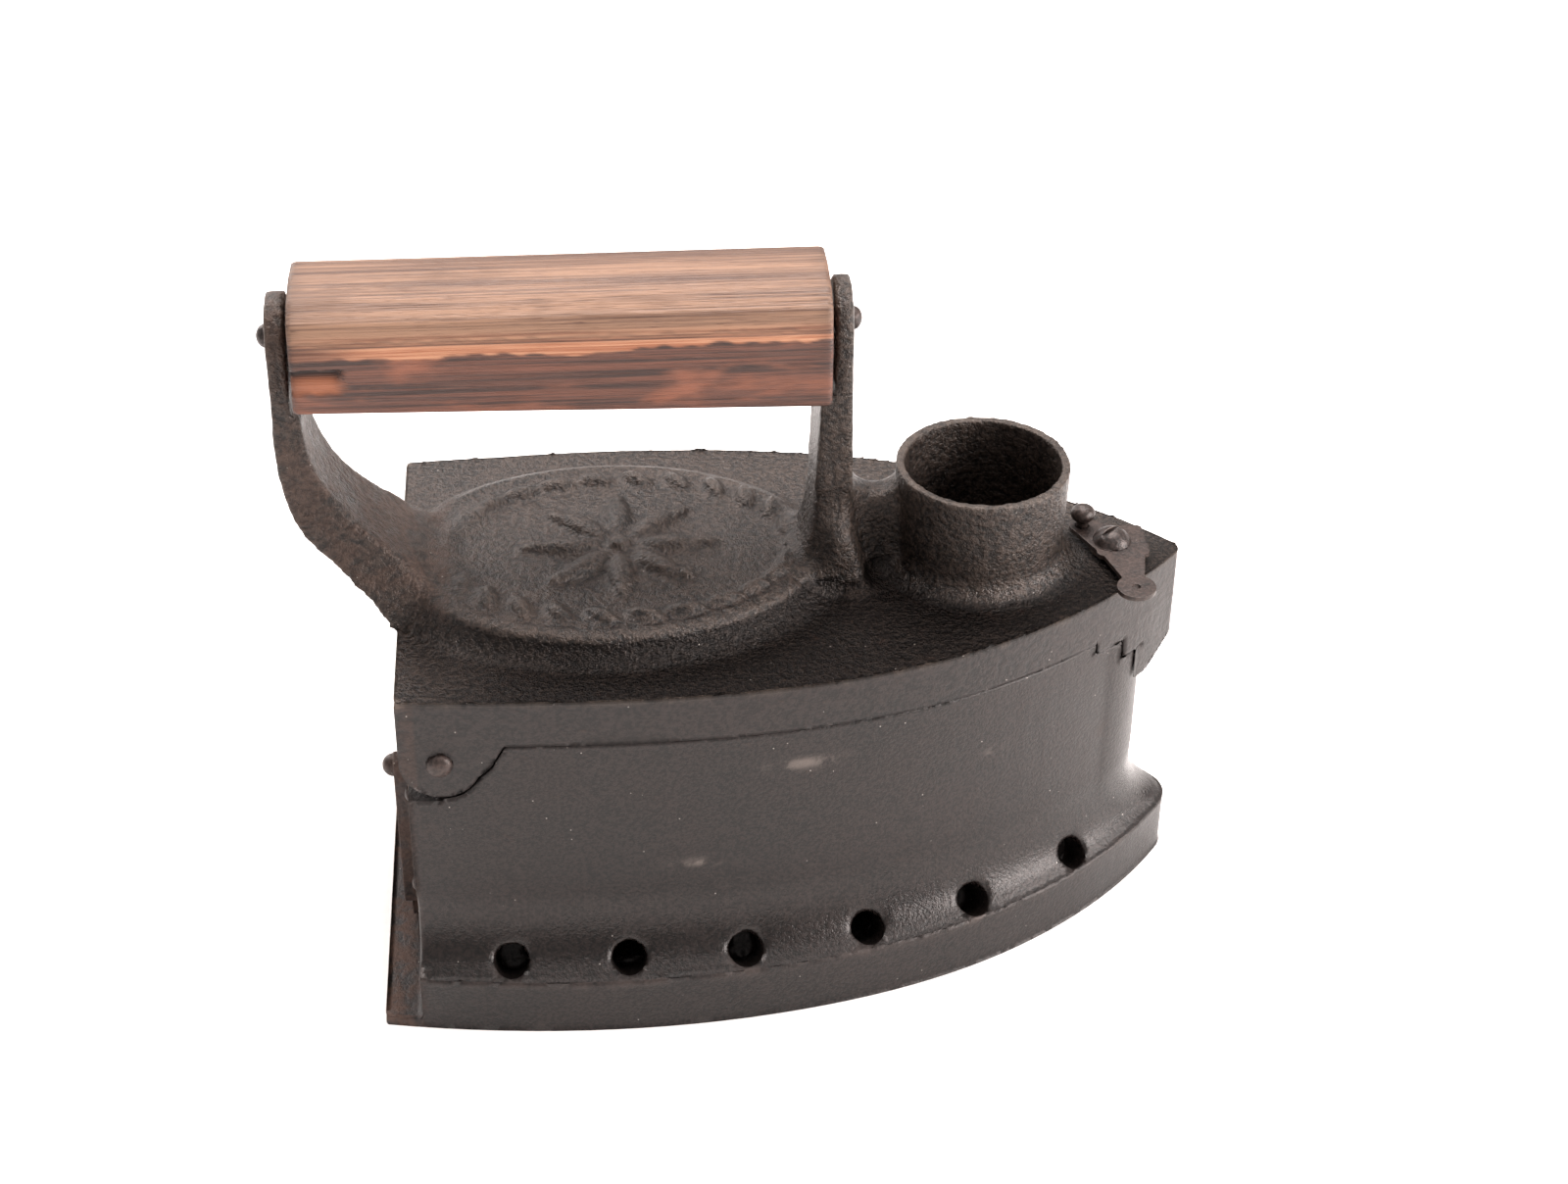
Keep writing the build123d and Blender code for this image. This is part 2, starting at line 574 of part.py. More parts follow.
def lid_casting():
    shell, column = lid_shell()
    lid = shell + beak(column) + ears() + rolled_edge()
    lid += medallion() & column.moved(Location((0, 0, 20)))
    lid += chimney()
    lid += front_post() + rear_post()
    # The way up the chimney, and the hollow under the raised oval.
    lid -= pin(CHIMNEY_RADIUS - CHIMNEY_WALL, CHIMNEY_X, 0, 60, 130)
    under = Ellipse(*MEDALLION_HOLLOW)
    lid -= Pos(MEDALLION_X + 1, 0, 80) * extrude(under, MEDALLION_TOP - LID_PLATE - 80, dir=(0, 0, 1))
    # The boss in the nose that carries the latch spindle, with a flat beside the body's nose.
    boss = pin(NOSE_BOSS_RADIUS, LATCH_X, 0, NOSE_BOSS_END, LID_TOP - 1)
    lid += boss & block(70, NOSE_BOSS_FLAT_X, -20, 20, 60, 95)
    lid -= pin(SCREW_DIAMETER / 2 + SCREW_FIT, LATCH_X, 0, 50, 110)
    lid -= lengthways(ROD_DIAMETER / 2 + ROD_FIT, 0, ROD_HEIGHT, -130, 30)
    body_boss = across(BOSS_RADIUS + RUNNING_GAP, PIVOT_X, PIVOT_Z, -EAR_INNER_Y, -BOSS_INNER_Y + GATE_GAP)
    for room in both_sides(body_boss):
        lid -= room
    for hole in both_sides(across(RIVET_DIAMETER / 2 + RIVET_FIT, PIVOT_X, PIVOT_Z, -70, -30)):
        lid -= hole
    for x, y in SHIELD_SPOTS:
        lid -= pin(SHIELD_RIVET / 2, x, y, 70, MEDALLION_TOP - LID_PLATE + SHIELD_RIVET_DEPTH)
    return lid


# ---- grip ----
def grip():
    """A wooden bar with upright sides and a roofed top, drilled for the rod."""
    x0, x1 = GRIP_X
    low = GRIP_BOTTOM - GRIP_DROP
    side = Polyline((x0, -GRIP_HALF, GRIP_SHOULDER), (x0, -GRIP_HALF, low),
                    (x0, GRIP_HALF, low), (x0, GRIP_HALF, GRIP_SHOULDER))
    half_roof = [(GRIP_HALF, GRIP_SHOULDER), *GRIP_ROOF]
    roof = Spline(*[(x0, y, z) for y, z in half_roof], (x0, 0, GRIP_CREST),
                  *[(x0, -y, z) for y, z in reversed(half_roof)])
    bar = Solid.extrude(Face(Wire([*side.edges(), roof])), Vector(x1 - x0, 0, 0))
    # The underside drops a little towards the front.
    wedge = [(x0 - 5, low - 5), (x0 - 5, GRIP_BOTTOM), (x0, GRIP_BOTTOM), (x1, low), (x1 + 5, low - 5)]
    bar -= side_profile(wedge, -20, 20)
    return bar - lengthways(ROD_DIAMETER / 2, 0, ROD_HEIGHT, x0 - 5, x1 + 5)


def grip_rod():
    """The long rivet through both straps and the grip, headed at both ends."""
    rear, front = POST_REAR_X[0], POST_FRONT_X[1]
    rod = lengthways(ROD_DIAMETER / 2, 0, ROD_HEIGHT, rear, front)
    rod += Pos(front, 0, ROD_HEIGHT) * Rot(0, 90, 0) * dome(ROD_HEAD / 2, ROD_HEAD_HEIGHT)
    rod += Pos(rear, 0, ROD_HEIGHT) * Rot(0, -90, 0) * dome(ROD_HEAD / 2, ROD_HEAD_HEIGHT)
    return rod


# ---- heat shield ----
def heat_shield():
    """A sheet-iron plate that keeps the fire off the lid."""
    x0, x1 = SHIELD_X
    plate = block(x0, x1, -SHIELD_HALF, SHIELD_HALF, SHIELD_HEIGHT, SHIELD_HEIGHT + SHIELD_THICKNESS)
    plate = fillet(plate.edges().filter_by(Axis.Z), SHIELD_CORNER)
    for x, y in SHIELD_SPOTS:
        plate -= pin(SHIELD_RIVET / 2, x, y, 70, 90)
    return plate


def shield_spacers():
    """Tubes that stand the shield off the lid."""
    outer, inner = SPACER_RADII
    low = SHIELD_HEIGHT + SHIELD_THICKNESS
    high = MEDALLION_TOP - LID_PLATE
    return [pin(outer, x, y, low, high) - pin(inner, x, y, low - 1, high + 1) for x, y in SHIELD_SPOTS]


def shield_rivets():
    """Rivets up through the shield and the spacers into the lid."""
    rivets = []
    for x, y in SHIELD_SPOTS:
        top = MEDALLION_TOP - LID_PLATE + SHIELD_RIVET_DEPTH
        shank = pin(SHIELD_RIVET / 2, x, y, SHIELD_HEIGHT, top)
        head = Pos(x, y, SHIELD_HEIGHT) * Rot(180, 0, 0) * dome(*SHIELD_RIVET_HEAD)
        rivets.append(shank + head)
    return rivets


# ---- latch ----
def latch_lever():
    """The plate that turns the latch, with an eye hanging past the lid's edge."""
    plate = Pos(LATCH_X + LEVER_PLATE_SHIFT, 0) * RectangleRounded(*LEVER_PLATE, 1.5)
    plate += Pos(*KNOB_SPOT) * Circle(KNOB_RADIUS)
    for strip in (LEVER_ARM, LEVER_NECK):
        plate += polygon([(LATCH_X + x, y, 0) for x, y in strip])
    plate += Pos(*EYE_SPOT) * Circle(EYE_RADIUS)
    plate -= Pos(*EYE_SPOT) * Circle(EYE_HOLE / 2)
    plate -= Pos(LATCH_X, 0) * Circle(SCREW_DIAMETER / 2)
    plate -= Pos(*KNOB_SPOT) * Circle(KNOB_STEM)
    return extrude(Pos(0, 0, LEVER_HEIGHT) * plate, LEVER_THICKNESS, dir=(0, 0, 1))


def latch_washer():
    ring = pin(LATCH_WASHER_RADIUS, LATCH_X, 0, LID_TOP + 0.1, LEVER_HEIGHT)
    return ring - pin(SCREW_DIAMETER / 2, LATCH_X, 0, 80, 100)


def latch_screw():
    """The slotted screw that is the latch's spindle."""
    seat = LEVER_HEIGHT + LEVER_THICKNESS
    slot_width, slot_depth = SLOT_SIZE
    screw = pin(SCREW_DIAMETER / 2, LATCH_X, 0, SCREW_END, seat)
    screw += Pos(LATCH_X, 0, seat) * dome(SCREW_HEAD_RADIUS, SCREW_HEAD_HEIGHT)
    slot = Rot(0, 0, SLOT_HEADING) * Box(20, slot_width, 2 * slot_depth)
    return screw - Pos(LATCH_X, 0, seat + SCREW_HEAD_HEIGHT) * slot


def latch_knob():
    """A flattened knob on a short stem, riveted into the lever's arm."""
    x, y = KNOB_SPOT
    ball = scale(Sphere(KNOB_RADIUS), by=(1, 1, KNOB_FLATNESS))
    return Pos(x, y, KNOB_CENTRE_Z) * ball + pin(KNOB_STEM, x, y, LEVER_HEIGHT, KNOB_CENTRE_Z)


def latch_tongue():
    """The tongue on the spindle's end. At rest it lies back along the iron, clear of the keeper."""
    width = TONGUE_WIDTH
    plan = Pos(-TONGUE_LENGTH / 2, 0) * Rectangle(TONGUE_LENGTH, width) + Circle(width / 2 + 1)
    plan += Pos(-TONGUE_LENGTH, 0) * Circle(width / 2)
    bar = extrude(plan, TONGUE_THICKNESS, dir=(0, 0, 1))
    bar = Pos(LATCH_X, 0, TONGUE_HEIGHT - TONGUE_THICKNESS) * bar
    return bar - pin(SCREW_DIAMETER / 2, LATCH_X, 0, 50, 80)


def latch_nut():
    nut = extrude(RegularPolygon(NUT_ACROSS / 2, 6, major_radius=False), NUT_HEIGHT, dir=(0, 0, -1))
    nut = Pos(LATCH_X, 0, TONGUE_HEIGHT - TONGUE_THICKNESS) * nut
    return nut - pin(SCREW_DIAMETER / 2, LATCH_X, 0, 50, 80)


NODES = {
    "body_casting": body_casting(),
    "fire_grate": fire_grate(),
    "gate_guide_right": gate_guide(-1),
    "gate_guide_left": gate_guide(1),
    "gate_guide_rivets": guide_rivets(),
    "hinge_rivet_right": hinge_rivet(-1),
    "hinge_rivet_left": hinge_rivet(1),
    "hinge_rivet_washers": hinge_washers(),
    "damper_gate": damper_gate(),
    "damper_peg": damper_peg(),
    "lid_casting": lid_casting(),
    "grip": grip(),
    "grip_rod": grip_rod(),
    "heat_shield": heat_shield(),
    "heat_shield_spacers": shield_spacers(),
    "heat_shield_rivets": shield_rivets(),
    "latch_lever": latch_lever(),
    "latch_washer": latch_washer(),
    "latch_screw": latch_screw(),
    "latch_knob": latch_knob(),
    "latch_tongue": latch_tongue(),
    "latch_nut": latch_nut(),
}

for name, shape in NODES.items():
    solids = shape if isinstance(shape, list) else [shape]
    export_step(Compound(children=[s for item in solids for s in item.solids()]), f"parts/{name}.step")
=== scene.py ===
import math

import bmesh
import bpy
import numpy as np
from mathutils import Matrix, Vector, kdtree, noise


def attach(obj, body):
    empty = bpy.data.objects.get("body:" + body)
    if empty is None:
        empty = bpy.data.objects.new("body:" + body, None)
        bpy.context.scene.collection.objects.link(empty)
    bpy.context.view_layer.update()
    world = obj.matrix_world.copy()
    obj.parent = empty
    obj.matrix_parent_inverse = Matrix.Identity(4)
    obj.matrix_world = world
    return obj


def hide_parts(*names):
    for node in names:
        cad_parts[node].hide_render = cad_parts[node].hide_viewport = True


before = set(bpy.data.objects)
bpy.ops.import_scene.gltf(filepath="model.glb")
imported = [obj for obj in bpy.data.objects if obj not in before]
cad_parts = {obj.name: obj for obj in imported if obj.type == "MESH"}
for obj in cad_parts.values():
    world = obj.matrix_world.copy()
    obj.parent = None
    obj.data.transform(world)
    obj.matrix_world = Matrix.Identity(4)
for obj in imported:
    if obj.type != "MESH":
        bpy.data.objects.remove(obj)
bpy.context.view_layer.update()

MM = 0.001
# A CAD edge sharper than this draws in the vertices that lie within a share of the mesh grid.
SHARP_ANGLE = math.radians(35)
SNAP_SHARE = 0.8
# The studio's light is a little warm.
STUDIO_LIGHT = (1.0, 0.935, 0.91)
# Blacked iron where a file has smoothed it.
FILED_TONE = "#251E1C"
# What a material reads from its mesh, besides where it is.
IRON_MARKS = ("edge", "hollow", "rust", "scuff", "soot_and_shade", "gloss", "filed")
WOOD_MARKS = ("top", "worn", "chip", "soot_and_shade")

# ---- the iron's own places, in millimetres ----
PIVOT = (-83.0, 73.3)
ROD_HEIGHT = 157.8
ROD_ENDS = (-118.0, 15.4)
BAND_TOP = 15.5
JOINT_HEIGHT = 78.3
LID_TOP = 91.2
OVAL_CENTRE = (-42.5, 0.0)
OVAL_HALF = (51.0, 37.5)
OVAL_TOP = 97.4
CHIMNEY = (47.7, 0.0)
CHIMNEY_FOOT = 20.6
GRIP_X = (-111.8, 9.4)
GRIP_HALF = 17.0
GRIP_BOTTOM = 146.0
GRIP_DROP = 2.4
GRIP_SHOULDER = 163.0
GRIP_ROOF = ((14.9, 168.7), (9.4, 171.8), (0.0, 172.8))
GUIDE_RIVETS = [(-92.3, side * 29.9, z) for side in (-1, 1) for z in (20.0, 48.0)]
HINGE_RIVETS = [(PIVOT[0], side * 52.2, PIVOT[1]) for side in (-1, 1)]
SHIELD_RIVETS = [(x, y, 80.5) for x in (-60.0, -16.0) for y in (-18.0, 18.0)]


# ---- small tools ----
def linear(hex_colour):
    """An sRGB hex colour as linear light, with full alpha."""
    parts = [int(hex_colour[i:i + 2], 16) / 255 for i in (1, 3, 5)]
    return tuple(c / 12.92 if c <= 0.04045 else ((c + 0.055) / 1.055) ** 2.4 for c in parts) + (1.0,)


def per_mm(size):
    """The texture scale, over metres, that gives a pattern this many millimetres across."""
    return 1 / (size * MM)


def node(tree, kind, inputs=None, **settings):
    """Adds a node with its settings, and sets or links its inputs."""
    made = tree.nodes.new(kind)
    for name, value in settings.items():
        setattr(made, name, value)
    for socket, value in (inputs or {}).items():
        if isinstance(value, bpy.types.NodeSocket):
            tree.links.new(value, made.inputs[socket])
        else:
            made.inputs[socket].default_value = value
    return made


def new_piece(name, mesh):
    piece = bpy.data.objects.new(name, mesh)
    bpy.context.scene.collection.objects.link(piece)
    return piece


def settle(piece):
    """Turns a piece and its modifiers into one plain mesh."""
    bpy.context.view_layer.update()
    graph = bpy.context.evaluated_depsgraph_get()
    mesh = bpy.data.meshes.new_from_object(
        piece.evaluated_get(graph), preserve_all_data_layers=True, depsgraph=graph
    )
    piece.modifiers.clear()
    piece.data = mesh
    return piece


def run_tree(piece, tree, values):
    """Runs a geometry tree on a piece, with its inputs given by name."""
    modifier = piece.modifiers.new("shape", "NODES")
    modifier.node_group = tree
    for item in tree.interface.items_tree:
        if item.in_out == "INPUT" and item.name in values:
            modifier[item.identifier] = values[item.name]
    return settle(piece)


def new_tree(name, inputs):
    """A geometry tree with a geometry input and output, and named inputs for its sizes."""
    tree = bpy.data.node_groups.new(name, "GeometryNodeTree")
    tree.interface.new_socket("Geometry", in_out="OUTPUT", socket_type="NodeSocketGeometry")
    tree.interface.new_socket("Geometry", in_out="INPUT", socket_type="NodeSocketGeometry")
    for title, kind in inputs.items():
        tree.interface.new_socket(title, in_out="INPUT", socket_type="NodeSocket" + kind)
    return tree, node(tree, "NodeGroupInput").outputs


def closed(tree, geometry, finish):
    """Ends a geometry tree: its copies are made real, given their finish and put out."""
    real = node(tree, "GeometryNodeRealizeInstances", {"Geometry": geometry})
    painted = node(tree, "GeometryNodeSetMaterial", {"Geometry": real.outputs[0], "Material": finish})
    node(tree, "NodeGroupOutput", {"Geometry": painted.outputs[0]})
    return tree


def points_of(mesh):
    """The mesh's vertex places in millimetres."""
    flat = np.empty(len(mesh.vertices) * 3, np.float32)
    mesh.vertices.foreach_get("co", flat)
    return flat.reshape(-1, 3).astype(float) / MM


def move_points(mesh, points):
    mesh.vertices.foreach_set("co", (points * MM).astype(np.float32).ravel())
    mesh.update()


def normals_of(mesh):
    flat = np.empty(len(mesh.vertices) * 3, np.float32)
    mesh.vertex_normals.foreach_get("vector", flat)
    return flat.reshape(-1, 3).astype(float)


def edges_of(mesh):
    flat = np.empty(len(mesh.edges) * 2, np.int32)
    mesh.edges.foreach_get("vertices", flat)
    return flat.reshape(-1, 2)


def paint(mesh, name, values):
    """Stores one number for each vertex, which the material reads."""
    layer = mesh.attributes.new(name, "FLOAT", "POINT")
    layer.data.foreach_set("value", np.asarray(values, np.float32))


def around(values, edges):
    """The mean of each vertex's neighbours."""
    a, b = edges.T
    size = len(values)
    count = np.maximum(np.bincount(edges.ravel(), minlength=size), 1)
    columns = [
        (np.bincount(a, values[b, i], size) + np.bincount(b, values[a, i], size)) / count
        for i in range(values.shape[1])
    ]
    return np.stack(columns, 1)


def relax(values, edges, share, rounds):
    """Eases each value towards its neighbours' mean, by its share, a number of times."""
    for _ in range(rounds):
        values = values + share[:, None] * (around(values, edges) - values)
    return values


def step(low, high, values):
    """0 below low, 1 above high, and a smooth rise between."""
    t = np.clip((values - low) / (high - low), 0, 1)
    return t * t * (3 - 2 * t)


def cloud(points, size, seed):
    """Smooth noise from 0 to 1 at each point, with features this many millimetres across."""
    shift = Vector((seed * 7.3, seed * 3.1, seed * 5.7))
    scale = 1 / size
    return np.array([0.5 + 0.5 * noise.noise(Vector(p) * scale + shift) for p in points])


# ---- shaping trees ----
def make_cast_skin():
    """Roughens a fine mesh inwards: small grains, and slow lumps from the mould or the hammer."""
    tree, given = new_tree("cast_skin", {
        "Grain Size": "Float", "Grain Depth": "Float", "Lump Size": "Float",
        "Lump Depth": "Float", "Seed": "Float", "Finish": "Material",
    })
    rough = node(tree, "GeometryNodeInputNamedAttribute", {"Name": "rough"}, data_type="FLOAT")
    depth = None
    for size, deep in (("Grain Size", "Grain Depth"), ("Lump Size", "Lump Depth")):
        scale = node(tree, "ShaderNodeMath", {0: 1.0, 1: given[size]}, operation="DIVIDE")
        field = node(tree, "ShaderNodeTexNoise", {
            "W": given["Seed"], "Scale": scale.outputs[0], "Detail": 2.0, "Roughness": 0.55,
        }, noise_dimensions="4D")
        amount = node(tree, "ShaderNodeMath", {0: field.outputs[0], 1: given[deep]}, operation="MULTIPLY")
        amount = amount.outputs[0]
        if depth is not None:
            amount = node(tree, "ShaderNodeMath", {0: depth, 1: amount}, operation="ADD").outputs[0]
        depth = amount
    inward = node(tree, "ShaderNodeMath", {0: depth, 1: rough.outputs[0]}, operation="MULTIPLY")
    inward = node(tree, "ShaderNodeMath", {0: inward.outputs[0], 1: -1.0}, operation="MULTIPLY")
    normal = node(tree, "GeometryNodeInputNormal")
    offset = node(tree, "ShaderNodeVectorMath", {
        "Vector": normal.outputs[0], "Scale": inward.outputs[0],
    }, operation="SCALE")
    moved = node(tree, "GeometryNodeSetPosition", {
        "Geometry": given["Geometry"], "Offset": offset.outputs[0],
    })
    smooth = node(tree, "GeometryNodeSetShadeSmooth", {"Geometry": moved.outputs[0]})
    return closed(tree, smooth.outputs[0], given["Finish"])


def make_rivet_row():
    """Sets a round-headed rivet, with its shank and closed-over tail, on each point of a mesh.

    Each rivet's head stands along the point's own normal, and turns a little at random.
    """
    tree, given = new_tree("rivet_row", {
        "Head Radius": "Float", "Head Height": "Float", "Shank Radius": "Float", "Shank Length": "Float",
        "Tail Radius": "Float", "Tail Height": "Float", "Seed": "Int", "Finish": "Material",
    })
    shells = []
    for radius, height, along in (("Head Radius", "Head Height", 0.0), ("Tail Radius", "Tail Height", -1.0)):
        ball = node(tree, "GeometryNodeMeshUVSphere", {"Segments": 32, "Rings": 16, "Radius": 1.0})
        size = node(tree, "ShaderNodeCombineXYZ", {
            "X": given[radius], "Y": given[radius], "Z": given[height],
        })
        place = node(tree, "ShaderNodeMath", {0: given["Shank Length"], 1: along}, operation="MULTIPLY")
        place = node(tree, "ShaderNodeCombineXYZ", {"Z": place.outputs[0]})
        head = node(tree, "GeometryNodeTransform", {
            "Geometry": ball.outputs[0], "Scale": size.outputs[0], "Translation": place.outputs[0],
        })
        shells.append(head)
    shank = node(tree, "GeometryNodeMeshCylinder", {
        "Vertices": 32, "Side Segments": 24, "Radius": given["Shank Radius"], "Depth": given["Shank Length"],
    })
    middle = node(tree, "ShaderNodeMath", {0: given["Shank Length"], 1: -0.5}, operation="MULTIPLY")
    middle = node(tree, "ShaderNodeCombineXYZ", {"Z": middle.outputs[0]})
    shells.append(node(tree, "GeometryNodeTransform", {
        "Geometry": shank.outputs[0], "Translation": middle.outputs[0],
    }))
    rivet = node(tree, "GeometryNodeJoinGeometry")
    for shell in shells:
        tree.links.new(shell.outputs[0], rivet.inputs[0])
    out = node(tree, "GeometryNodeInputNamedAttribute", {"Name": "out"}, data_type="FLOAT_VECTOR")
    aim = node(tree, "FunctionNodeAlignRotationToVector", {"Vector": out.outputs[0]}, axis="Z")
    spin = node(tree, "FunctionNodeRandomValue", {"Max": Vector((0, 0, math.tau)), "Seed": given["Seed"]},
                data_type="FLOAT_VECTOR")
    rows = node(tree, "GeometryNodeInstanceOnPoints", {
        "Points": given["Geometry"], "Instance": rivet.outputs[0], "Rotation": aim.outputs[0],
    })
    turned = node(tree, "GeometryNodeRotateInstances", {
        "Instances": rows.outputs[0], "Rotation": spin.outputs[0],
    })
    return closed(tree, turned.outputs[0], given["Finish"])


def make_leaf_ring():
    """Lays almond-shaped leaves on an oval ring, each turned from the ring by the same lean."""
    tree, given = new_tree("leaf_ring", {
        "Leaves": "Int", "Leaf Length": "Float", "Leaf Width": "Float", "Leaf Height": "Float",
        "Ring Length": "Float", "Ring Width": "Float", "Lean": "Float", "Finish": "Material",
    })
    circle = node(tree, "GeometryNodeMeshCircle", {"Vertices": given["Leaves"], "Radius": 1.0})
    ring_size = node(tree, "ShaderNodeCombineXYZ", {
        "X": given["Ring Length"], "Y": given["Ring Width"], "Z": 1.0,
    })
    ring = node(tree, "GeometryNodeTransform", {"Geometry": circle.outputs[0], "Scale": ring_size.outputs[0]})
    ball = node(tree, "GeometryNodeMeshUVSphere", {"Segments": 20, "Rings": 12, "Radius": 0.5})
    leaf_size = node(tree, "ShaderNodeCombineXYZ", {
        "X": given["Leaf Length"], "Y": given["Leaf Width"], "Z": given["Leaf Height"],
    })
    leaf = node(tree, "GeometryNodeTransform", {"Geometry": ball.outputs[0], "Scale": leaf_size.outputs[0]})
    place = node(tree, "GeometryNodeInputPosition")
    parts = node(tree, "ShaderNodeSeparateXYZ", {"Vector": place.outputs[0]})
    heading = node(tree, "ShaderNodeMath", {0: parts.outputs[1], 1: parts.outputs[0]}, operation="ARCTAN2")
    heading = node(tree, "ShaderNodeMath", {0: heading.outputs[0], 1: given["Lean"]}, operation="ADD")
    turn = node(tree, "ShaderNodeCombineXYZ", {"Z": heading.outputs[0]})
    laid = node(tree, "GeometryNodeInstanceOnPoints", {
        "Points": ring.outputs[0], "Instance": leaf.outputs[0], "Rotation": turn.outputs[0],
    })
    return closed(tree, laid.outputs[0], given["Finish"])


# ---- materials ----
def new_material(name):
    material = bpy.data.materials.new(name)
    material.use_nodes = True
    tree = material.node_tree
    tree.nodes.clear()
    shader = node(tree, "ShaderNodeBsdfPrincipled")
    node(tree, "ShaderNodeOutputMaterial", {"Surface": shader.outputs[0]})
    return material, tree, shader


def coats(tree, base, layers):
    """Lays colours over a base colour, each by its own share. A colour is a hex value or a socket."""
    over = linear(base) if isinstance(base, str) else base
    for share, colour in layers:
        colour = linear(colour) if isinstance(colour, str) else colour
        over = node(tree, "ShaderNodeMix", {0: share, 6: over, 7: colour}, data_type="RGBA").outputs[2]
    return over


def shares(tree, table):
    """Makes the named shares that coats and other settings use.

    Each row is a pattern, the two values of it to stretch between, what they become, and then
    anything to multiply by: a socket, a number, or the name of an earlier row.
    """
    made = {}
    for title, (pattern, low, high, start, end, *factors) in table.items():
        share = node(tree, "ShaderNodeMapRange", {
            "Value": made[pattern] if isinstance(pattern, str) else pattern,
            "From Min": low, "From Max": high, "To Min": start, "To Max": end,
        }, interpolation_type="SMOOTHSTEP").outputs[0]
        for factor in factors:
            factor = made[factor] if isinstance(factor, str) else factor
            share = node(tree, "ShaderNodeMath", {0: share, 1: factor}, operation="MULTIPLY").outputs[0]
        made[title] = share
    return made


def blacked_iron(name, dark, light, edge, roughness, grain, bump, rust_share):
    """Iron under old stove blacking, with its grain and the depth of its bumps in millimetres.

    The blacking gives a soft brown-black satin. It is thin on the edges, where the metal shows
    paler, and matt in the hollows. Fine sand grain, slow stains, sparse pale dust and orange-brown
    rust break it up.
    """
    material, tree, shader = new_material(name)
    place = node(tree, "ShaderNodeTexCoord").outputs["Object"]
    sand = node(tree, "ShaderNodeTexNoise", {
        "Vector": place, "Scale": per_mm(grain), "Detail": 3.0, "Roughness": 0.7}).outputs[0]
    stain = node(tree, "ShaderNodeTexNoise", {
        "Vector": place, "Scale": per_mm(22), "Detail": 5.0, "Roughness": 0.6}).outputs[0]
    patch = node(tree, "ShaderNodeTexNoise", {
        "Vector": place, "Scale": per_mm(6), "Detail": 6.0, "Roughness": 0.65, "Distortion": 0.4}).outputs[0]
    painted = {
        title: node(tree, "ShaderNodeAttribute", attribute_name=title).outputs["Fac"]
        for title in IRON_MARKS
    }
    # Dust: a pale speck in about one cell out of four, each under half a millimetre across.
    dust = node(tree, "ShaderNodeTexVoronoi", {"Vector": place, "Scale": per_mm(2.8)})
    dust_pick = node(tree, "ShaderNodeSeparateColor", {"Color": dust.outputs["Color"]}).outputs[0]
    made = shares(tree, {
        "broad_tone": (stain, 0.3, 0.7, 0.0, 1.0, 0.3),
        "fine_tone": (sand, 0.4, 0.6, 0.0, 1.0, 0.7),
        "soot_and_shade": (sand, 0.3, 0.62, 1.0, 0.8, painted["soot_and_shade"]),
        "worn": (patch, 0.35, 0.6, 0.0, 1.0, painted["edge"], 0.85),
        # Rust blooms where it is painted, and in a few small spots anywhere.
        "rust_bloom": (patch, 0.38, 0.56, 0.0, 1.0, painted["rust"]),
        "rust_spots": (patch, 0.62, 0.74, 0.0, 1.0, rust_share),
        "scuff": (patch, 0.42, 0.58, 0.0, 1.0, painted["scuff"]),
        "speck": (dust.outputs["Distance"], 0.04, 0.075, 1.0, 0.0),
        "dust": (dust_pick, 0.72, 0.78, 0.0, 1.0, "speck", 0.6),
        "shine": (stain, 0.25, 0.75, roughness - 0.05, roughness + 0.06),
        # Soot and painted shade drink up the light, and the parts of them that are polished throw back a
        # little more.
        "dull": (painted["gloss"], 0.0, 1.0, 1.0, 0.7, painted["soot_and_shade"]),
        "metal": ("dull", 0.0, 1.0, 0.35, 0.9),
        "unfiled": (painted["filed"], 0.0, 1.0, 1.0, 0.3),
    })
    tone = node(tree, "ShaderNodeMath", {0: made["fine_tone"], 1: made["broad_tone"]}, operation="ADD")
    hollow = node(tree, "ShaderNodeMath", {0: painted["hollow"], 1: 0.45}, operation="MULTIPLY")
    rust = node(tree, "ShaderNodeMath", {
        0: made["rust_bloom"], 1: made["rust_spots"]}, operation="MAXIMUM").outputs[0]
    colour = coats(tree, dark, [
        (tone.outputs[0], coats(tree, light, [(painted["filed"], FILED_TONE)])),
        (hollow.outputs[0], "#14100E"),
        # Near-black for soot, and for painted shade on the lid's near half.
        (made["soot_and_shade"], "#0A0706"),
        (made["worn"], edge),
        (rust, coats(tree, "#33241C", [(sand, "#62473A")])),
        (made["scuff"], "#857A73"),
        (made["dust"], "#B5AEA8"),
    ])
    tree.links.new(colour, shader.inputs["Base Color"])
    matt = made["shine"]
    for mark, change in ((rust, 0.35), (painted["hollow"], 0.12), (painted["gloss"], -0.2)):
        matt = node(tree, "ShaderNodeMath", {
            0: mark, 1: change, 2: matt}, operation="MULTIPLY_ADD").outputs[0]
    tree.links.new(matt, shader.inputs["Roughness"])
    tree.links.new(made["metal"], shader.inputs["Metallic"])
    height = node(tree, "ShaderNodeMath", {0: rust, 1: 0.4, 2: sand}, operation="MULTIPLY_ADD").outputs[0]
    height = node(tree, "ShaderNodeMath", {0: height, 1: made["unfiled"]}, operation="MULTIPLY").outputs[0]
    bumped = node(tree, "ShaderNodeBump", {"Height": height, "Strength": 1.0, "Distance": bump * MM})
    tree.links.new(bumped.outputs[0], shader.inputs["Normal"])
    return material


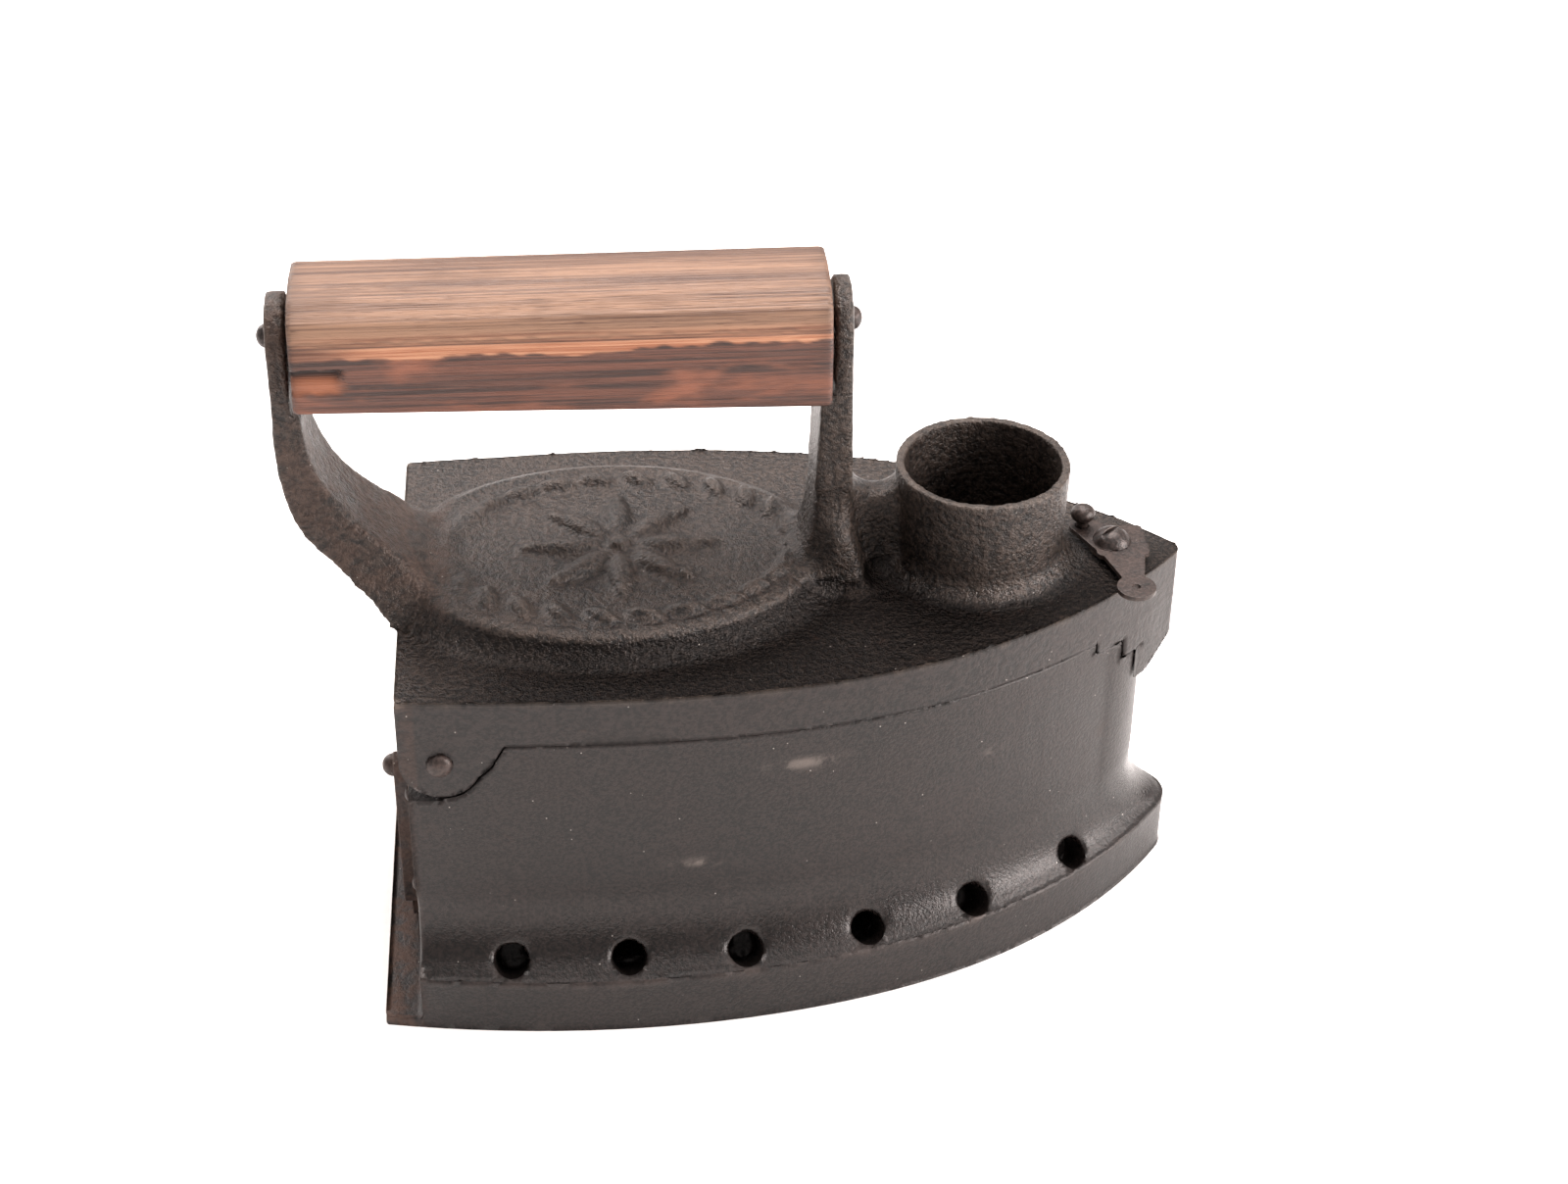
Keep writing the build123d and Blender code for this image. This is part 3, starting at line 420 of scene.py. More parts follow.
def oiled_hardwood(name):
    """A sawn and planed hardwood bar, once stained dark and polished by the hand.

    The grain runs along the bar in long fine streaks. The top is bleached and rubbed pale, the
    arris is worn to bright bare wood with a fainter painted highlight on the facet above it, and
    the sides keep the dark stain with reddish streaks.
    """
    material, tree, shader = new_material(name)
    place = node(tree, "ShaderNodeTexCoord").outputs["Object"]
    painted = {
        title: node(tree, "ShaderNodeAttribute", attribute_name=title).outputs["Fac"]
        for title in WOOD_MARKS
    }

    def streaks(length, width, detail, shift):
        """Grain this long and wide, in millimetres."""
        held = node(tree, "ShaderNodeMapping", {
            "Vector": place,
            "Location": Vector((shift, shift, shift)),
            "Scale": Vector((per_mm(length), per_mm(width), per_mm(width))),
        })
        return node(tree, "ShaderNodeTexNoise", {
            "Vector": held.outputs[0], "Scale": 1.0, "Detail": detail, "Roughness": 0.6,
            "Distortion": 0.25}).outputs[0]

    fine = streaks(60, 0.55, 4.0, 0.0)
    bands = streaks(130, 2.4, 4.0, 4.0)
    pores = streaks(9, 0.3, 2.0, 9.0)
    blotch = streaks(30, 9.0, 3.0, 14.0)
    half_fine = node(tree, "ShaderNodeMath", {0: fine, 1: 0.5}, operation="MULTIPLY").outputs[0]
    grain = node(tree, "ShaderNodeMath", {
        0: bands, 1: 0.5, 2: half_fine}, operation="MULTIPLY_ADD").outputs[0]
    made = shares(tree, {
        "top_grain": (grain, 0.37, 0.6, 0.0, 1.0),
        "top_blotch": (blotch, 0.5, 0.7, 0.0, 1.0, 0.45),
        "top_pores": (pores, 0.58, 0.7, 0.0, 1.0, 0.75),
        "side_grain": (grain, 0.4, 0.64, 0.0, 1.0),
        "side_blotch": (blotch, 0.5, 0.68, 0.0, 1.0, 0.75),
        "side_streaks": (fine, 0.55, 0.66, 0.0, 1.0, 0.5),
        "bare_grain": (fine, 0.35, 0.65, 0.0, 1.0),
        "shine": (bands, 0.3, 0.7, 0.42, 0.6),
    })
    top = coats(tree, "#4A3226", [
        (made["top_grain"], "#846550"),
        (made["top_blotch"], "#523828"),
        (made["top_pores"], "#42281E"),
    ])
    side = coats(tree, "#2E1E19", [
        (made["side_grain"], "#6E4536"),
        (made["side_blotch"], "#84503A"),
        (made["side_streaks"], "#2A1813"),
    ])
    colour = coats(tree, side, [
        (painted["top"], top),
        # Paler bare wood on the worn arris, and a fainter painted highlight on the facet above the near
        # shoulder.
        (painted["worn"], coats(tree, "#8A5439", [(made["bare_grain"], "#B08062")])),
        (painted["chip"], "#885339"),
        # Darker towards the ends, in the chip and along a line above the near shoulder.
        (painted["soot_and_shade"], "#1E1310"),
    ])
    tree.links.new(colour, shader.inputs["Base Color"])
    tree.links.new(made["shine"], shader.inputs["Roughness"])
    shader.inputs["IOR"].default_value = 1.5
    height = node(tree, "ShaderNodeMath", {0: fine, 1: pores}, operation="SUBTRACT").outputs[0]
    bumped = node(tree, "ShaderNodeBump", {"Height": height, "Strength": 0.8, "Distance": 0.25 * MM})
    tree.links.new(bumped.outputs[0], shader.inputs["Normal"])
    return material


IRONS = {
    # finish: dark, light and edge colours, roughness, grain size, bump depth, share of rust spots
    # The body's walls: filed smooth, with an even satin blacking.
    "satin_cast_iron": ("#080605", FILED_TONE, "#463C38", 0.4, 0.9, 0.22, 0.1),
    # The lid: left as it came from the sand, grainy and a little brown.
    "sand_cast_iron": ("#0B0807", "#3C322C", "#5E534B", 0.4, 1.4, 0.85, 0.15),
    # The grate and the shield: scaled and ashy from the fire.
    "burnt_cast_iron": ("#1A1513", "#423934", "#5E5650", 0.7, 0.9, 0.2, 0.8),
    # Strips, straps, pegs and levers: hammered bar and sheet, rusting in its pits.
    "wrought_iron": ("#15100E", "#3A302D", "#6C615B", 0.4, 0.9, 0.14, 0.35),
}
FINISHES = {name: blacked_iron(name, *values) for name, values in IRONS.items()}
GRIP_WOOD = oiled_hardwood("stained_hardwood")
CAST_SKIN = make_cast_skin()
RIVET_ROW = make_rivet_row()
LEAF_RING = make_leaf_ring()


# ---- fine copies of the metal parts ----
def merged_copy(cad_node):
    """A copy of a CAD node's mesh with its loose triangles joined up."""
    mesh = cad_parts[cad_node].data.copy()
    mesh.materials.clear()
    bm = bmesh.new()
    bm.from_mesh(mesh)
    bmesh.ops.remove_doubles(bm, verts=bm.verts, dist=1e-6)
    bm.to_mesh(mesh)
    bm.free()
    return mesh


def joined(name, pieces):
    """Several closed shells as one object, ready to be fused."""
    with bpy.context.temp_override(active_object=pieces[0], selected_editable_objects=pieces):
        bpy.ops.object.join()
    pieces[0].name = name
    return pieces[0]


def edge_line(mesh, spacing, below):
    """Points along every edge where a mesh's faces turn sharply, up to a height."""
    bm = bmesh.new()
    bm.from_mesh(mesh)
    places = []
    for edge in bm.edges:
        if edge.is_manifold and edge.calc_face_angle() > SHARP_ANGLE:
            a, b = (v.co / MM for v in edge.verts)
            if max(a.z, b.z) > below:
                continue
            steps = max(1, math.ceil((b - a).length / spacing))
            places += [a.lerp(b, k / steps) for k in range(steps + 1)]
    bm.free()
    return places


def sharpened(mesh, places, reach):
    """Draws the vertices that lie close to an edge line onto it."""
    if not places:
        return
    tree = kdtree.KDTree(len(places))
    for index, place in enumerate(places):
        tree.insert(place, index)
    tree.balance()
    points = points_of(mesh)
    for index, point in enumerate(points):
        place, _, distance = tree.find(point)
        if distance < reach:
            points[index] = place
    move_points(mesh, points)


def fused(piece, grid, below=math.inf):
    """Fuses closed shells into one even mesh, then lays it back on their true faces and edges."""
    shape = new_piece("shape", piece.data.copy())
    lines = edge_line(shape.data, grid * 0.4, below)
    remesh = piece.modifiers.new("even", "REMESH")
    remesh.mode = "VOXEL"
    remesh.voxel_size = grid * MM
    settle(piece)
    back = piece.modifiers.new("back", "SHRINKWRAP")
    back.target = shape
    back.wrap_method = "NEAREST_SURFACEPOINT"
    settle(piece)
    sharpened(piece.data, lines, grid * SNAP_SHARE)
    bpy.data.objects.remove(shape)
    return piece


def paint_wear(mesh, grid, hidden=0.0, hollows=1.0):
    """Marks the raised edges and the hollows from how each vertex sits among its neighbours.

    Wear is left off where hidden is 1, as along a joint that nothing rubs, and a clean casting
    has no dark hollows.
    """
    points, edges = points_of(mesh), edges_of(mesh)
    lift = ((around(points, edges) - points) * normals_of(mesh)).sum(1, keepdims=True) / grid
    even = np.ones(len(points))
    sharp = relax(lift, edges, even * 0.7, 5)[:, 0]
    broad = relax(lift, edges, even * 0.9, 14)[:, 0]
    paint(mesh, "edge", step(0.035, 0.15, -sharp) * (1 - hidden))
    paint(mesh, "hollow", step(0.015, 0.09, broad) * hollows)


def finish_metal(piece, body, nodes, finish, skin, seed):
    """Roughens a fused metal piece, gives it its finish, and hangs it on its body."""
    grain, grain_depth, lump, lump_depth = skin
    for title in ("rough", "rust", "scuff", "soot_and_shade", "gloss", "filed"):
        if title not in piece.data.attributes:
            paint(piece.data, title, np.full(len(piece.data.vertices), 1.0 if title == "rough" else 0.0))
    run_tree(piece, CAST_SKIN, {
        "Grain Size": grain * MM, "Grain Depth": grain_depth * MM, "Lump Size": lump * MM,
        "Lump Depth": lump_depth * MM, "Seed": float(seed), "Finish": FINISHES[finish],
    })
    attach(piece, body)
    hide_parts(*nodes)


# ---- body casting ----
BODY_GRID = 1.18
# Pale scuffs on the right-hand wall: how far along and up each is, and its half length and height.
SCUFFS = ((1.0, 68.5, 6.5, 1.3), (-24.0, 42.0, 5.0, 1.0), (48.0, 60.0, 2.0, 0.7))


def body_cast():
    """The boat-shaped body: its walls, its draught holes, its band and its rear foot."""
    piece = fused(new_piece("body_cast", merged_copy("body_casting")), BODY_GRID)
    mesh = piece.data
    points, edges = points_of(mesh), edges_of(mesh)
    x, y, z = points.T
    # The hollow curve above the band is smoothed, so that it catches one long highlight.
    off_the_edges = step(64.5, 62.5, np.abs(y)) * step(-97, -90, x)
    below_the_wall = 1 - step(30, 36, z)
    curve = step(BAND_TOP + 1.6, BAND_TOP + 3.0, z) * below_the_wall * off_the_edges
    points = relax(points, edges, curve * 0.5, 8)
    move_points(mesh, points)
    paint_wear(mesh, BODY_GRID, hidden=step(58, 64, z), hollows=0.0)
    # The sole stays flat, the walls are smoother than the foot, and the joint is left true.
    flat_foot = step(0.2, 1.2, z)
    walls = 1 - 0.55 * step(32, 40, z)
    near_joint = step(0.2, 1.6, np.abs(z - JOINT_HEIGHT))
    paint(mesh, "rough", flat_foot * walls * near_joint)
    rear = 1 - step(-97, -88, x)
    low = 1 - step(2, 16, z)
    paint(mesh, "rust", np.clip(rear * (0.35 + 0.4 * low), 0, 1))
    scuff = np.zeros(len(x))
    for at_x, at_z, long, high in SCUFFS:
        mark = np.exp(-((x - at_x) / long) ** 2 - ((z - at_z) / high) ** 2)
        scuff = np.maximum(scuff, mark * (y < 0))
    paint(mesh, "scuff", scuff * 0.42)
    paint(mesh, "gloss", curve * 0.7)
    finish_metal(piece, "body", ["body_casting"], "satin_cast_iron", (3.0, 0.1, 16.0, 0.3), 3)


# ---- lid casting ----
LID_GRID = 0.92
ORNAMENT_CENTRE = (OVAL_CENTRE[0] + 3, 0.0, OVAL_TOP - 0.1)
ORNAMENT_RINGS = (
    # leaves, leaf length, width and height, ring half length and width, lean
    (26, 10.0, 4.8, 4.6, 42.0, 29.5, 1.05),
    (8, 17.0, 6.8, 5.2, 12.0, 12.0, 0.0),
    (8, 8.0, 4.0, 4.0, 20.5, 18.0, 0.0),
    (5, 3.8, 3.8, 5.4, 1.3, 1.3, 0.0),
)


def oval_share(x, y):
    """How far out a point is on the raised oval: 1 is its edge."""
    return np.hypot((x - OVAL_CENTRE[0]) / OVAL_HALF[0], (y - OVAL_CENTRE[1]) / OVAL_HALF[1])


def lid_ornament():
    """A plain wreath of leaves round an eight-petalled flower, in low relief."""
    made = []
    for leaves, length, width, height, half_long, half_wide, lean in ORNAMENT_RINGS:
        ring = run_tree(new_piece("ring", bpy.data.meshes.new("ring")), LEAF_RING, {
            "Leaves": leaves, "Leaf Length": length * MM, "Leaf Width": width * MM,
            "Leaf Height": height * MM, "Ring Length": half_long * MM, "Ring Width": half_wide * MM,
            "Lean": lean, "Finish": FINISHES["sand_cast_iron"],
        })
        ring.data.transform(Matrix.Translation(Vector(ORNAMENT_CENTRE) * MM))
        made.append(ring)
    return made


def lid_cast():
    """The lid with its oval and wreath, its chimney and the two straps, all one casting."""
    shells = [new_piece("lid_cast", merged_copy("lid_casting")), *lid_ornament()]
    piece = fused(joined("lid_cast", shells), LID_GRID, below=LID_TOP + 0.2)
    mesh = piece.data
    points, edges = points_of(mesh), edges_of(mesh)
    x, y, z = points.T
    out = oval_share(x, y)
    on_top = step(LID_TOP - 1.5, LID_TOP - 0.4, z) * step(-91.5, -88.5, x)
    # A low bead of metal runs round the oval, just inside its edge.
    rim = np.exp(-((out - 0.94) / 0.02) ** 2) * step(OVAL_TOP - 1, OVAL_TOP - 0.3, z)
    points[:, 2] += 0.8 * rim * (z < OVAL_TOP + 1.5)
    # Coves at the oval, the chimney and the straps, where the moulder ran a finger round.
    from_chimney = np.hypot(x - CHIMNEY[0], y - CHIMNEY[1]) - CHIMNEY_FOOT
    cove = step(1.0, 1.04, out) * (1 - step(1.16, 1.24, out)) * (z < OVAL_TOP - 2.0)
    collar = (from_chimney > 0.4) * (1 - step(5, 9, from_chimney)) * (z < LID_TOP + 10)
    front_foot = (1 - step(15, 20, np.abs(y))) * (x > 0) * (from_chimney > 0.6) * (x < 34) * (z < 117)
    rear_foot = (1 - step(19, 24, np.abs(y))) * (x < -72) * (z < 118) * (z > LID_TOP - 1)
    ease = np.clip(np.maximum.reduce([cove, collar, front_foot, rear_foot]), 0, 1)
    points = relax(points, edges, ease * on_top * 0.6, 26)
    strap = (z > 100) * (from_chimney > 6)
    points = relax(points, edges, strap * 0.5, 4)
    points = relax(points, edges, (z > LID_TOP + 0.5) * 0.4, 2)
    move_points(mesh, points)
    x, y, z = points.T
    paint_wear(mesh, LID_GRID, hidden=1 - step(LID_TOP - 4, LID_TOP - 2, z))
    # The edge was filed after casting, so that it is smoother than the top.
    filed = 1 - step(LID_TOP - 1.5, LID_TOP - 0.3, z)
    tall = step(98, 104, z) * (from_chimney < 6)
    paint(mesh, "filed", filed)
    lumpy = np.clip(1 - 0.88 * filed - 0.3 * tall, 0.1, 1)
    lumpy = np.where(front_foot * (z > LID_TOP) > 0.5, 1.7, lumpy)
    near_joint = step(0.2, 1.6, np.abs(z - JOINT_HEIGHT))
    paint(mesh, "rough", lumpy * near_joint)
    rear_strap = (x < -80) * step(92, 100, z)
    paint(mesh, "rust", np.clip(0.3 * rear_strap + 0.2 * (x < -88) * filed, 0, 1))
    # On the near half, the low ground between the oval and the edge and the cove at the oval's foot are
    # darkened: partly soot and old blacking, partly painted shade.
    flange = step(1.02, 1.1, out) * step(1.0, 3.0, from_chimney) * (z > LID_TOP - 1.2) * (z < LID_TOP + 4)
    lip = step(0.98, 1.02, out) * (1 - step(1.12, 1.2, out)) * (z > LID_TOP - 0.5) * (z < OVAL_TOP - 1.5)
    collar_lip = (from_chimney > 0) * (1 - step(3, 7, from_chimney))
    collar_lip = collar_lip * (z < LID_TOP + 8) * (z > LID_TOP - 0.5)
    shiny = np.clip(np.maximum(lip, collar_lip), 0, 1)
    paint(mesh, "gloss", shiny)
    # Only the near half is darkened; this one-sided dark is painted shade.
    near_side = (1 - step(-24, 30, y)) * step(-115, -50, x)
    paint(mesh, "soot_and_shade", np.clip(np.maximum(flange, lip) * near_side, 0, 1))
    finish_metal(piece, "lid", ["lid_casting"], "sand_cast_iron", (2.2, 0.38, 9.0, 0.42), 7)


# ---- the smaller iron parts, each from its own CAD shape ----
SMALL_PARTS = (
    # CAD node, body, slot, finish, mesh grid, (grain size and depth, lump size and depth), rust
    ("fire_grate", "body", "grate_iron", "burnt_cast_iron", 0.95, (2.0, 0.3, 9.0, 0.4), 0.6),
    ("gate_guide_right", "body", "strip_iron", "wrought_iron", 0.4, (1.2, 0.08, 6.0, 0.12), 0.5),
    ("gate_guide_left", "body", "strip_iron", "wrought_iron", 0.4, (1.2, 0.08, 6.0, 0.12), 0.5),
    ("hinge_rivet_washers", "body", "rivet_iron", "wrought_iron", 0.3, (1.2, 0.06, 5.0, 0.08), 0.5),
    ("damper_gate", "draft_gate", "gate_iron", "burnt_cast_iron", 0.5, (1.6, 0.14, 9.0, 0.2), 0.6),
    ("damper_peg", "draft_gate", "gate_iron", "wrought_iron", 0.25, (1.0, 0.08, 4.0, 0.2), 0.3),
    ("heat_shield", "lid", "shield_iron", "burnt_cast_iron", 0.5, (1.6, 0.1, 12.0, 0.12), 0.4),
    ("heat_shield_spacers", "lid", "shield_iron", "burnt_cast_iron", 0.4, (1.2, 0.08, 5.0, 0.1), 0.5),
    ("latch_lever", "latch", "lever_iron", "wrought_iron", 0.3, (0.9, 0.06, 5.0, 0.12), 0.16),
    ("latch_washer", "latch", "lever_iron", "wrought_iron", 0.25, (0.9, 0.04, 5.0, 0.05), 0.3),
    ("latch_screw", "latch", "screw_iron", "wrought_iron", 0.2, (0.8, 0.05, 4.0, 0.1), 0.06),
    ("latch_knob", "latch", "screw_iron", "wrought_iron", 0.2, (0.8, 0.06, 4.0, 0.25), 0.08),
    ("latch_tongue", "latch", "lever_iron", "wrought_iron", 0.35, (0.9, 0.06, 5.0, 0.1), 0.4),
    ("latch_nut", "latch", "screw_iron", "wrought_iron", 0.25, (0.9, 0.05, 5.0, 0.06), 0.4),
)


def small_part(cad_node, body, slot, finish, grid, skin, rust, seed):
    """A worn and slightly rounded copy of one small CAD part."""
    piece = fused(new_piece(cad_node + "_worn", merged_copy(cad_node)), grid)
    mesh = piece.data
    points, edges = points_of(mesh), edges_of(mesh)
    points = relax(points, edges, np.full(len(points), 0.4), 2)
    move_points(mesh, points)
    paint_wear(mesh, grid)
    paint(mesh, "rust", np.full(len(points), rust))
    finish_metal(piece, body, [cad_node], finish, skin, seed)


# ---- rivets ----
RIVET_SETS = (
    # name, body, CAD nodes, points, outward direction,
    # (head radius and rise, shank radius and length, tail radius and rise), grid
    ("guide_rivets", "body", ["gate_guide_rivets"], GUIDE_RIVETS, (-1, 0, 0),
     (2.1, 1.2, 1.45, 6.2, 2.3, 0.9), 0.22),
    ("right_hinge_rivet", "body", ["hinge_rivet_right"], HINGE_RIVETS[:1], (0, -1, 0),
     (3.2, 1.95, 2.2, 10.6, 3.0, 1.1), 0.22),
    ("left_hinge_rivet", "body", ["hinge_rivet_left"], HINGE_RIVETS[1:], (0, 1, 0),
     (3.2, 1.95, 2.2, 10.6, 3.0, 1.1), 0.22),
    ("shield_rivets", "lid", ["heat_shield_rivets"], SHIELD_RIVETS, (0, 0, -1),
     (3.0, 1.3, 1.5, 14.0, 1.5, 0.5), 0.25),
    ("rod", "lid", ["grip_rod"], [(ROD_ENDS[0], 0.0, ROD_HEIGHT)], (-1, 0, 0),
     (3.0, 2.4, 2.5, ROD_ENDS[1] - ROD_ENDS[0], 3.0, 2.4), 0.3),
)


def rivet_set(name, body, nodes, spots, out, sizes, grid, seed):
    """Rivets of one size, their heads at the given spots, their shanks running inwards."""
    mesh = bpy.data.meshes.new(name)
    mesh.from_pydata([[c * MM for c in spot] for spot in spots], [], [])
    aim = mesh.attributes.new("out", "FLOAT_VECTOR", "POINT")
    aim.data.foreach_set("vector", np.tile(np.array(out, np.float32), len(spots)))
    head, head_rise, shank, length, tail, tail_rise = (size * MM for size in sizes)
    piece = run_tree(new_piece(name, mesh), RIVET_ROW, {
        "Head Radius": head, "Head Height": head_rise, "Shank Radius": shank, "Shank Length": length,
        "Tail Radius": tail, "Tail Height": tail_rise, "Seed": seed, "Finish": FINISHES["wrought_iron"],
    })
    fused(piece, grid)
    paint_wear(piece.data, grid)
    paint(piece.data, "rust", np.full(len(piece.data.vertices), 0.15))
    finish_metal(piece, body, nodes, "wrought_iron", (1.0, 0.06, 3.2, 0.3), seed)


# ---- grip ----
def grip_section(count):
    """The bar's outline across, in (y, z), evenly spaced, from the middle of its underside."""
    low = GRIP_BOTTOM
    roof = [(GRIP_HALF, GRIP_SHOULDER), *GRIP_ROOF]
    half = [(0.0, low), (GRIP_HALF - 0.7, low), (GRIP_HALF, low + 0.7)] + roof
    whole = half + [(-y, z) for y, z in reversed(half[1:-1])] + [half[0]]
    whole = np.array(whole)
    spans = np.hypot(*np.diff(whole, axis=0).T)
    reach = np.concatenate([[0], np.cumsum(spans)])
    at = np.linspace(0, reach[-1], count, endpoint=False)
    return np.stack([np.interp(at, reach, whole[:, 0]), np.interp(at, reach, whole[:, 1])], 1)


GRIP_RING = 260
GRIP_ROWS = 190
GRIP_CAP_RINGS = 9
GRIP_BORE = 2.6


def grip_wood():
    """The wooden bar: swept from its section, then worn, and bored for the rod."""
    ring, rows, cap_rings = GRIP_RING, GRIP_ROWS, GRIP_CAP_RINGS
    section = grip_section(ring)
    for _ in range(3):
        section = (np.roll(section, 1, 0) + 2 * section + np.roll(section, -1, 0)) / 4
    along = np.roll(section, -1, 0) - np.roll(section, 1, 0)
    out = np.stack([along[:, 1], -along[:, 0]], 1)
    out /= np.linalg.norm(out, axis=1, keepdims=True)
    x0, x1 = GRIP_X
    middle = np.array([0.0, ROD_HEIGHT])
    bearing = np.arctan2(section[:, 1] - middle[1], section[:, 0])
    bore = middle + GRIP_BORE * np.stack([np.cos(bearing), np.sin(bearing)], 1)
    loops = []
    for row in range(rows):
        share = row / (rows - 1)
        x = x0 + (x1 - x0) * share
        drop = GRIP_DROP * share * (1 - step(GRIP_BOTTOM, GRIP_BOTTOM + 4, section[:, 1]))
        # The corners at both ends are eased.
        end = min(x - x0, x1 - x)
        tuck = 0.45 * (1 - step(0.0, 0.9, np.array(end)))
        at = section - out * tuck
        loops.append(np.column_stack([np.full(ring, x), at[:, 0], at[:, 1] - drop]))
    for x, order, edge in ((x1, 1, loops[-1]), (x0, -1, loops[0])):
        cap = []
        for k in range(1, cap_rings + 1):
            share = k / cap_rings
            flat = edge[:, 1:] * (1 - share) + bore * share
            cap.append(np.column_stack([np.full(ring, x), flat]))
        loops += cap[::order]
    points = np.concatenate(loops)
    total = len(loops)
    faces = []
    for k in range(total):
        after = (k + 1) % total
        for i in range(ring):
            j = (i + 1) % ring
            faces.append((k * ring + i, k * ring + j, after * ring + j, after * ring + i))
    mesh = bpy.data.meshes.new("grip_wood")
    mesh.from_pydata([list(p * MM) for p in points], [], faces)
    bm = bmesh.new()
    bm.from_mesh(mesh)
    bmesh.ops.recalc_face_normals(bm, faces=bm.faces)
    bm.to_mesh(mesh)
    bm.free()
    x, y, z = points.T
    body = np.arange(len(points)) < rows * ring
    outward = np.zeros_like(points)
    outward[body, 1:] = np.tile(out, (rows, 1))
    # Long ridges of harder grain, which wear has left standing.
    stretched = points * np.array([0.03, 1.0, 1.0])
    ridges = cloud(stretched, 1.5, 1) * 0.16 + cloud(stretched, 5.0, 2) * 0.35
    corner = np.exp(-(((np.abs(y) - GRIP_HALF) / 2.6) ** 2 + ((z - GRIP_SHOULDER) / 2.6) ** 2))
    rub = corner * (0.35 + 0.8 * cloud(points * np.array([1.0, 0, 0]), 17.0, 5))
    # A splinter is gone from the rear end of the right-hand side.
    ragged = 1.4 * (cloud(points, 3.0, 8) - 0.5)
    in_chip = (1 - step(-103, -98.5, x + 3 * ragged)) * (y < -10)
    gouge = in_chip * step(151.2, 152.2, z + ragged) * (1 - step(157.2, 157.8, z + 0.5 * ragged))
    cut = gouge * (0.6 + 1.5 * step(153.5, 157, z))
    points = points - outward * (ridges + rub + cut)[:, None]
    move_points(mesh, points)
    wavy = cloud(points * np.array([1.0, 0, 0]), 13.0, 11)
    below = GRIP_SHOULDER - z
    frayed = cloud(points * np.array([0.5, 1.0, 1.0]), 2.0, 12)
    reach = 2.7 + 2.2 * (wavy - 0.5) + 1.6 * (frayed - 0.5) - 1.1 * step(-50, -25, x)
    worn_line = step(-0.2, 0.5, below) * (1 - step(0.0, 0.6, below - reach)) * (y < -12)
    left_fade = step(-108, -92, x)
    paint(mesh, "top", step(GRIP_SHOULDER - 0.4, GRIP_SHOULDER + 1.2, z + 0.8 * ragged))
    # A paler band on the facet just above the near shoulder is a painted highlight. The wear mark carries it
    # more faintly, beside the worn arris.
    highlit_facet = step(0.0, 0.5, -below) * (1 - step(1.4, 3.2, -below)) * (y < -8)
    paint(mesh, "worn", np.maximum(worn_line * (0.25 + 0.7 * left_fade), 0.4 * highlit_facet))
    paint(mesh, "chip", gouge * (1 - step(154.5, 156.5, z)))
    # Darker marks on the bar: towards both ends, in the deep upper part of the chip, and along a thin line
    # above the near shoulder.
    ends = np.exp(-np.minimum(x - x0, x1 - x) / 2.0) * body
    seam = np.exp(-((z - GRIP_SHOULDER - 1.0 + ragged) / 0.45) ** 2) * (y < 0)
    dark = gouge * step(155.0, 156.5, z) * 0.9 + 0.45 * ends + 0.4 * seam
    paint(mesh, "soot_and_shade", np.clip(dark, 0, 1) * (y < 16.9))
    mesh.shade_smooth()
    mesh.materials.append(GRIP_WOOD)
    piece = new_piece("grip_wood", mesh)
    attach(piece, "lid")
    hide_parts("grip")


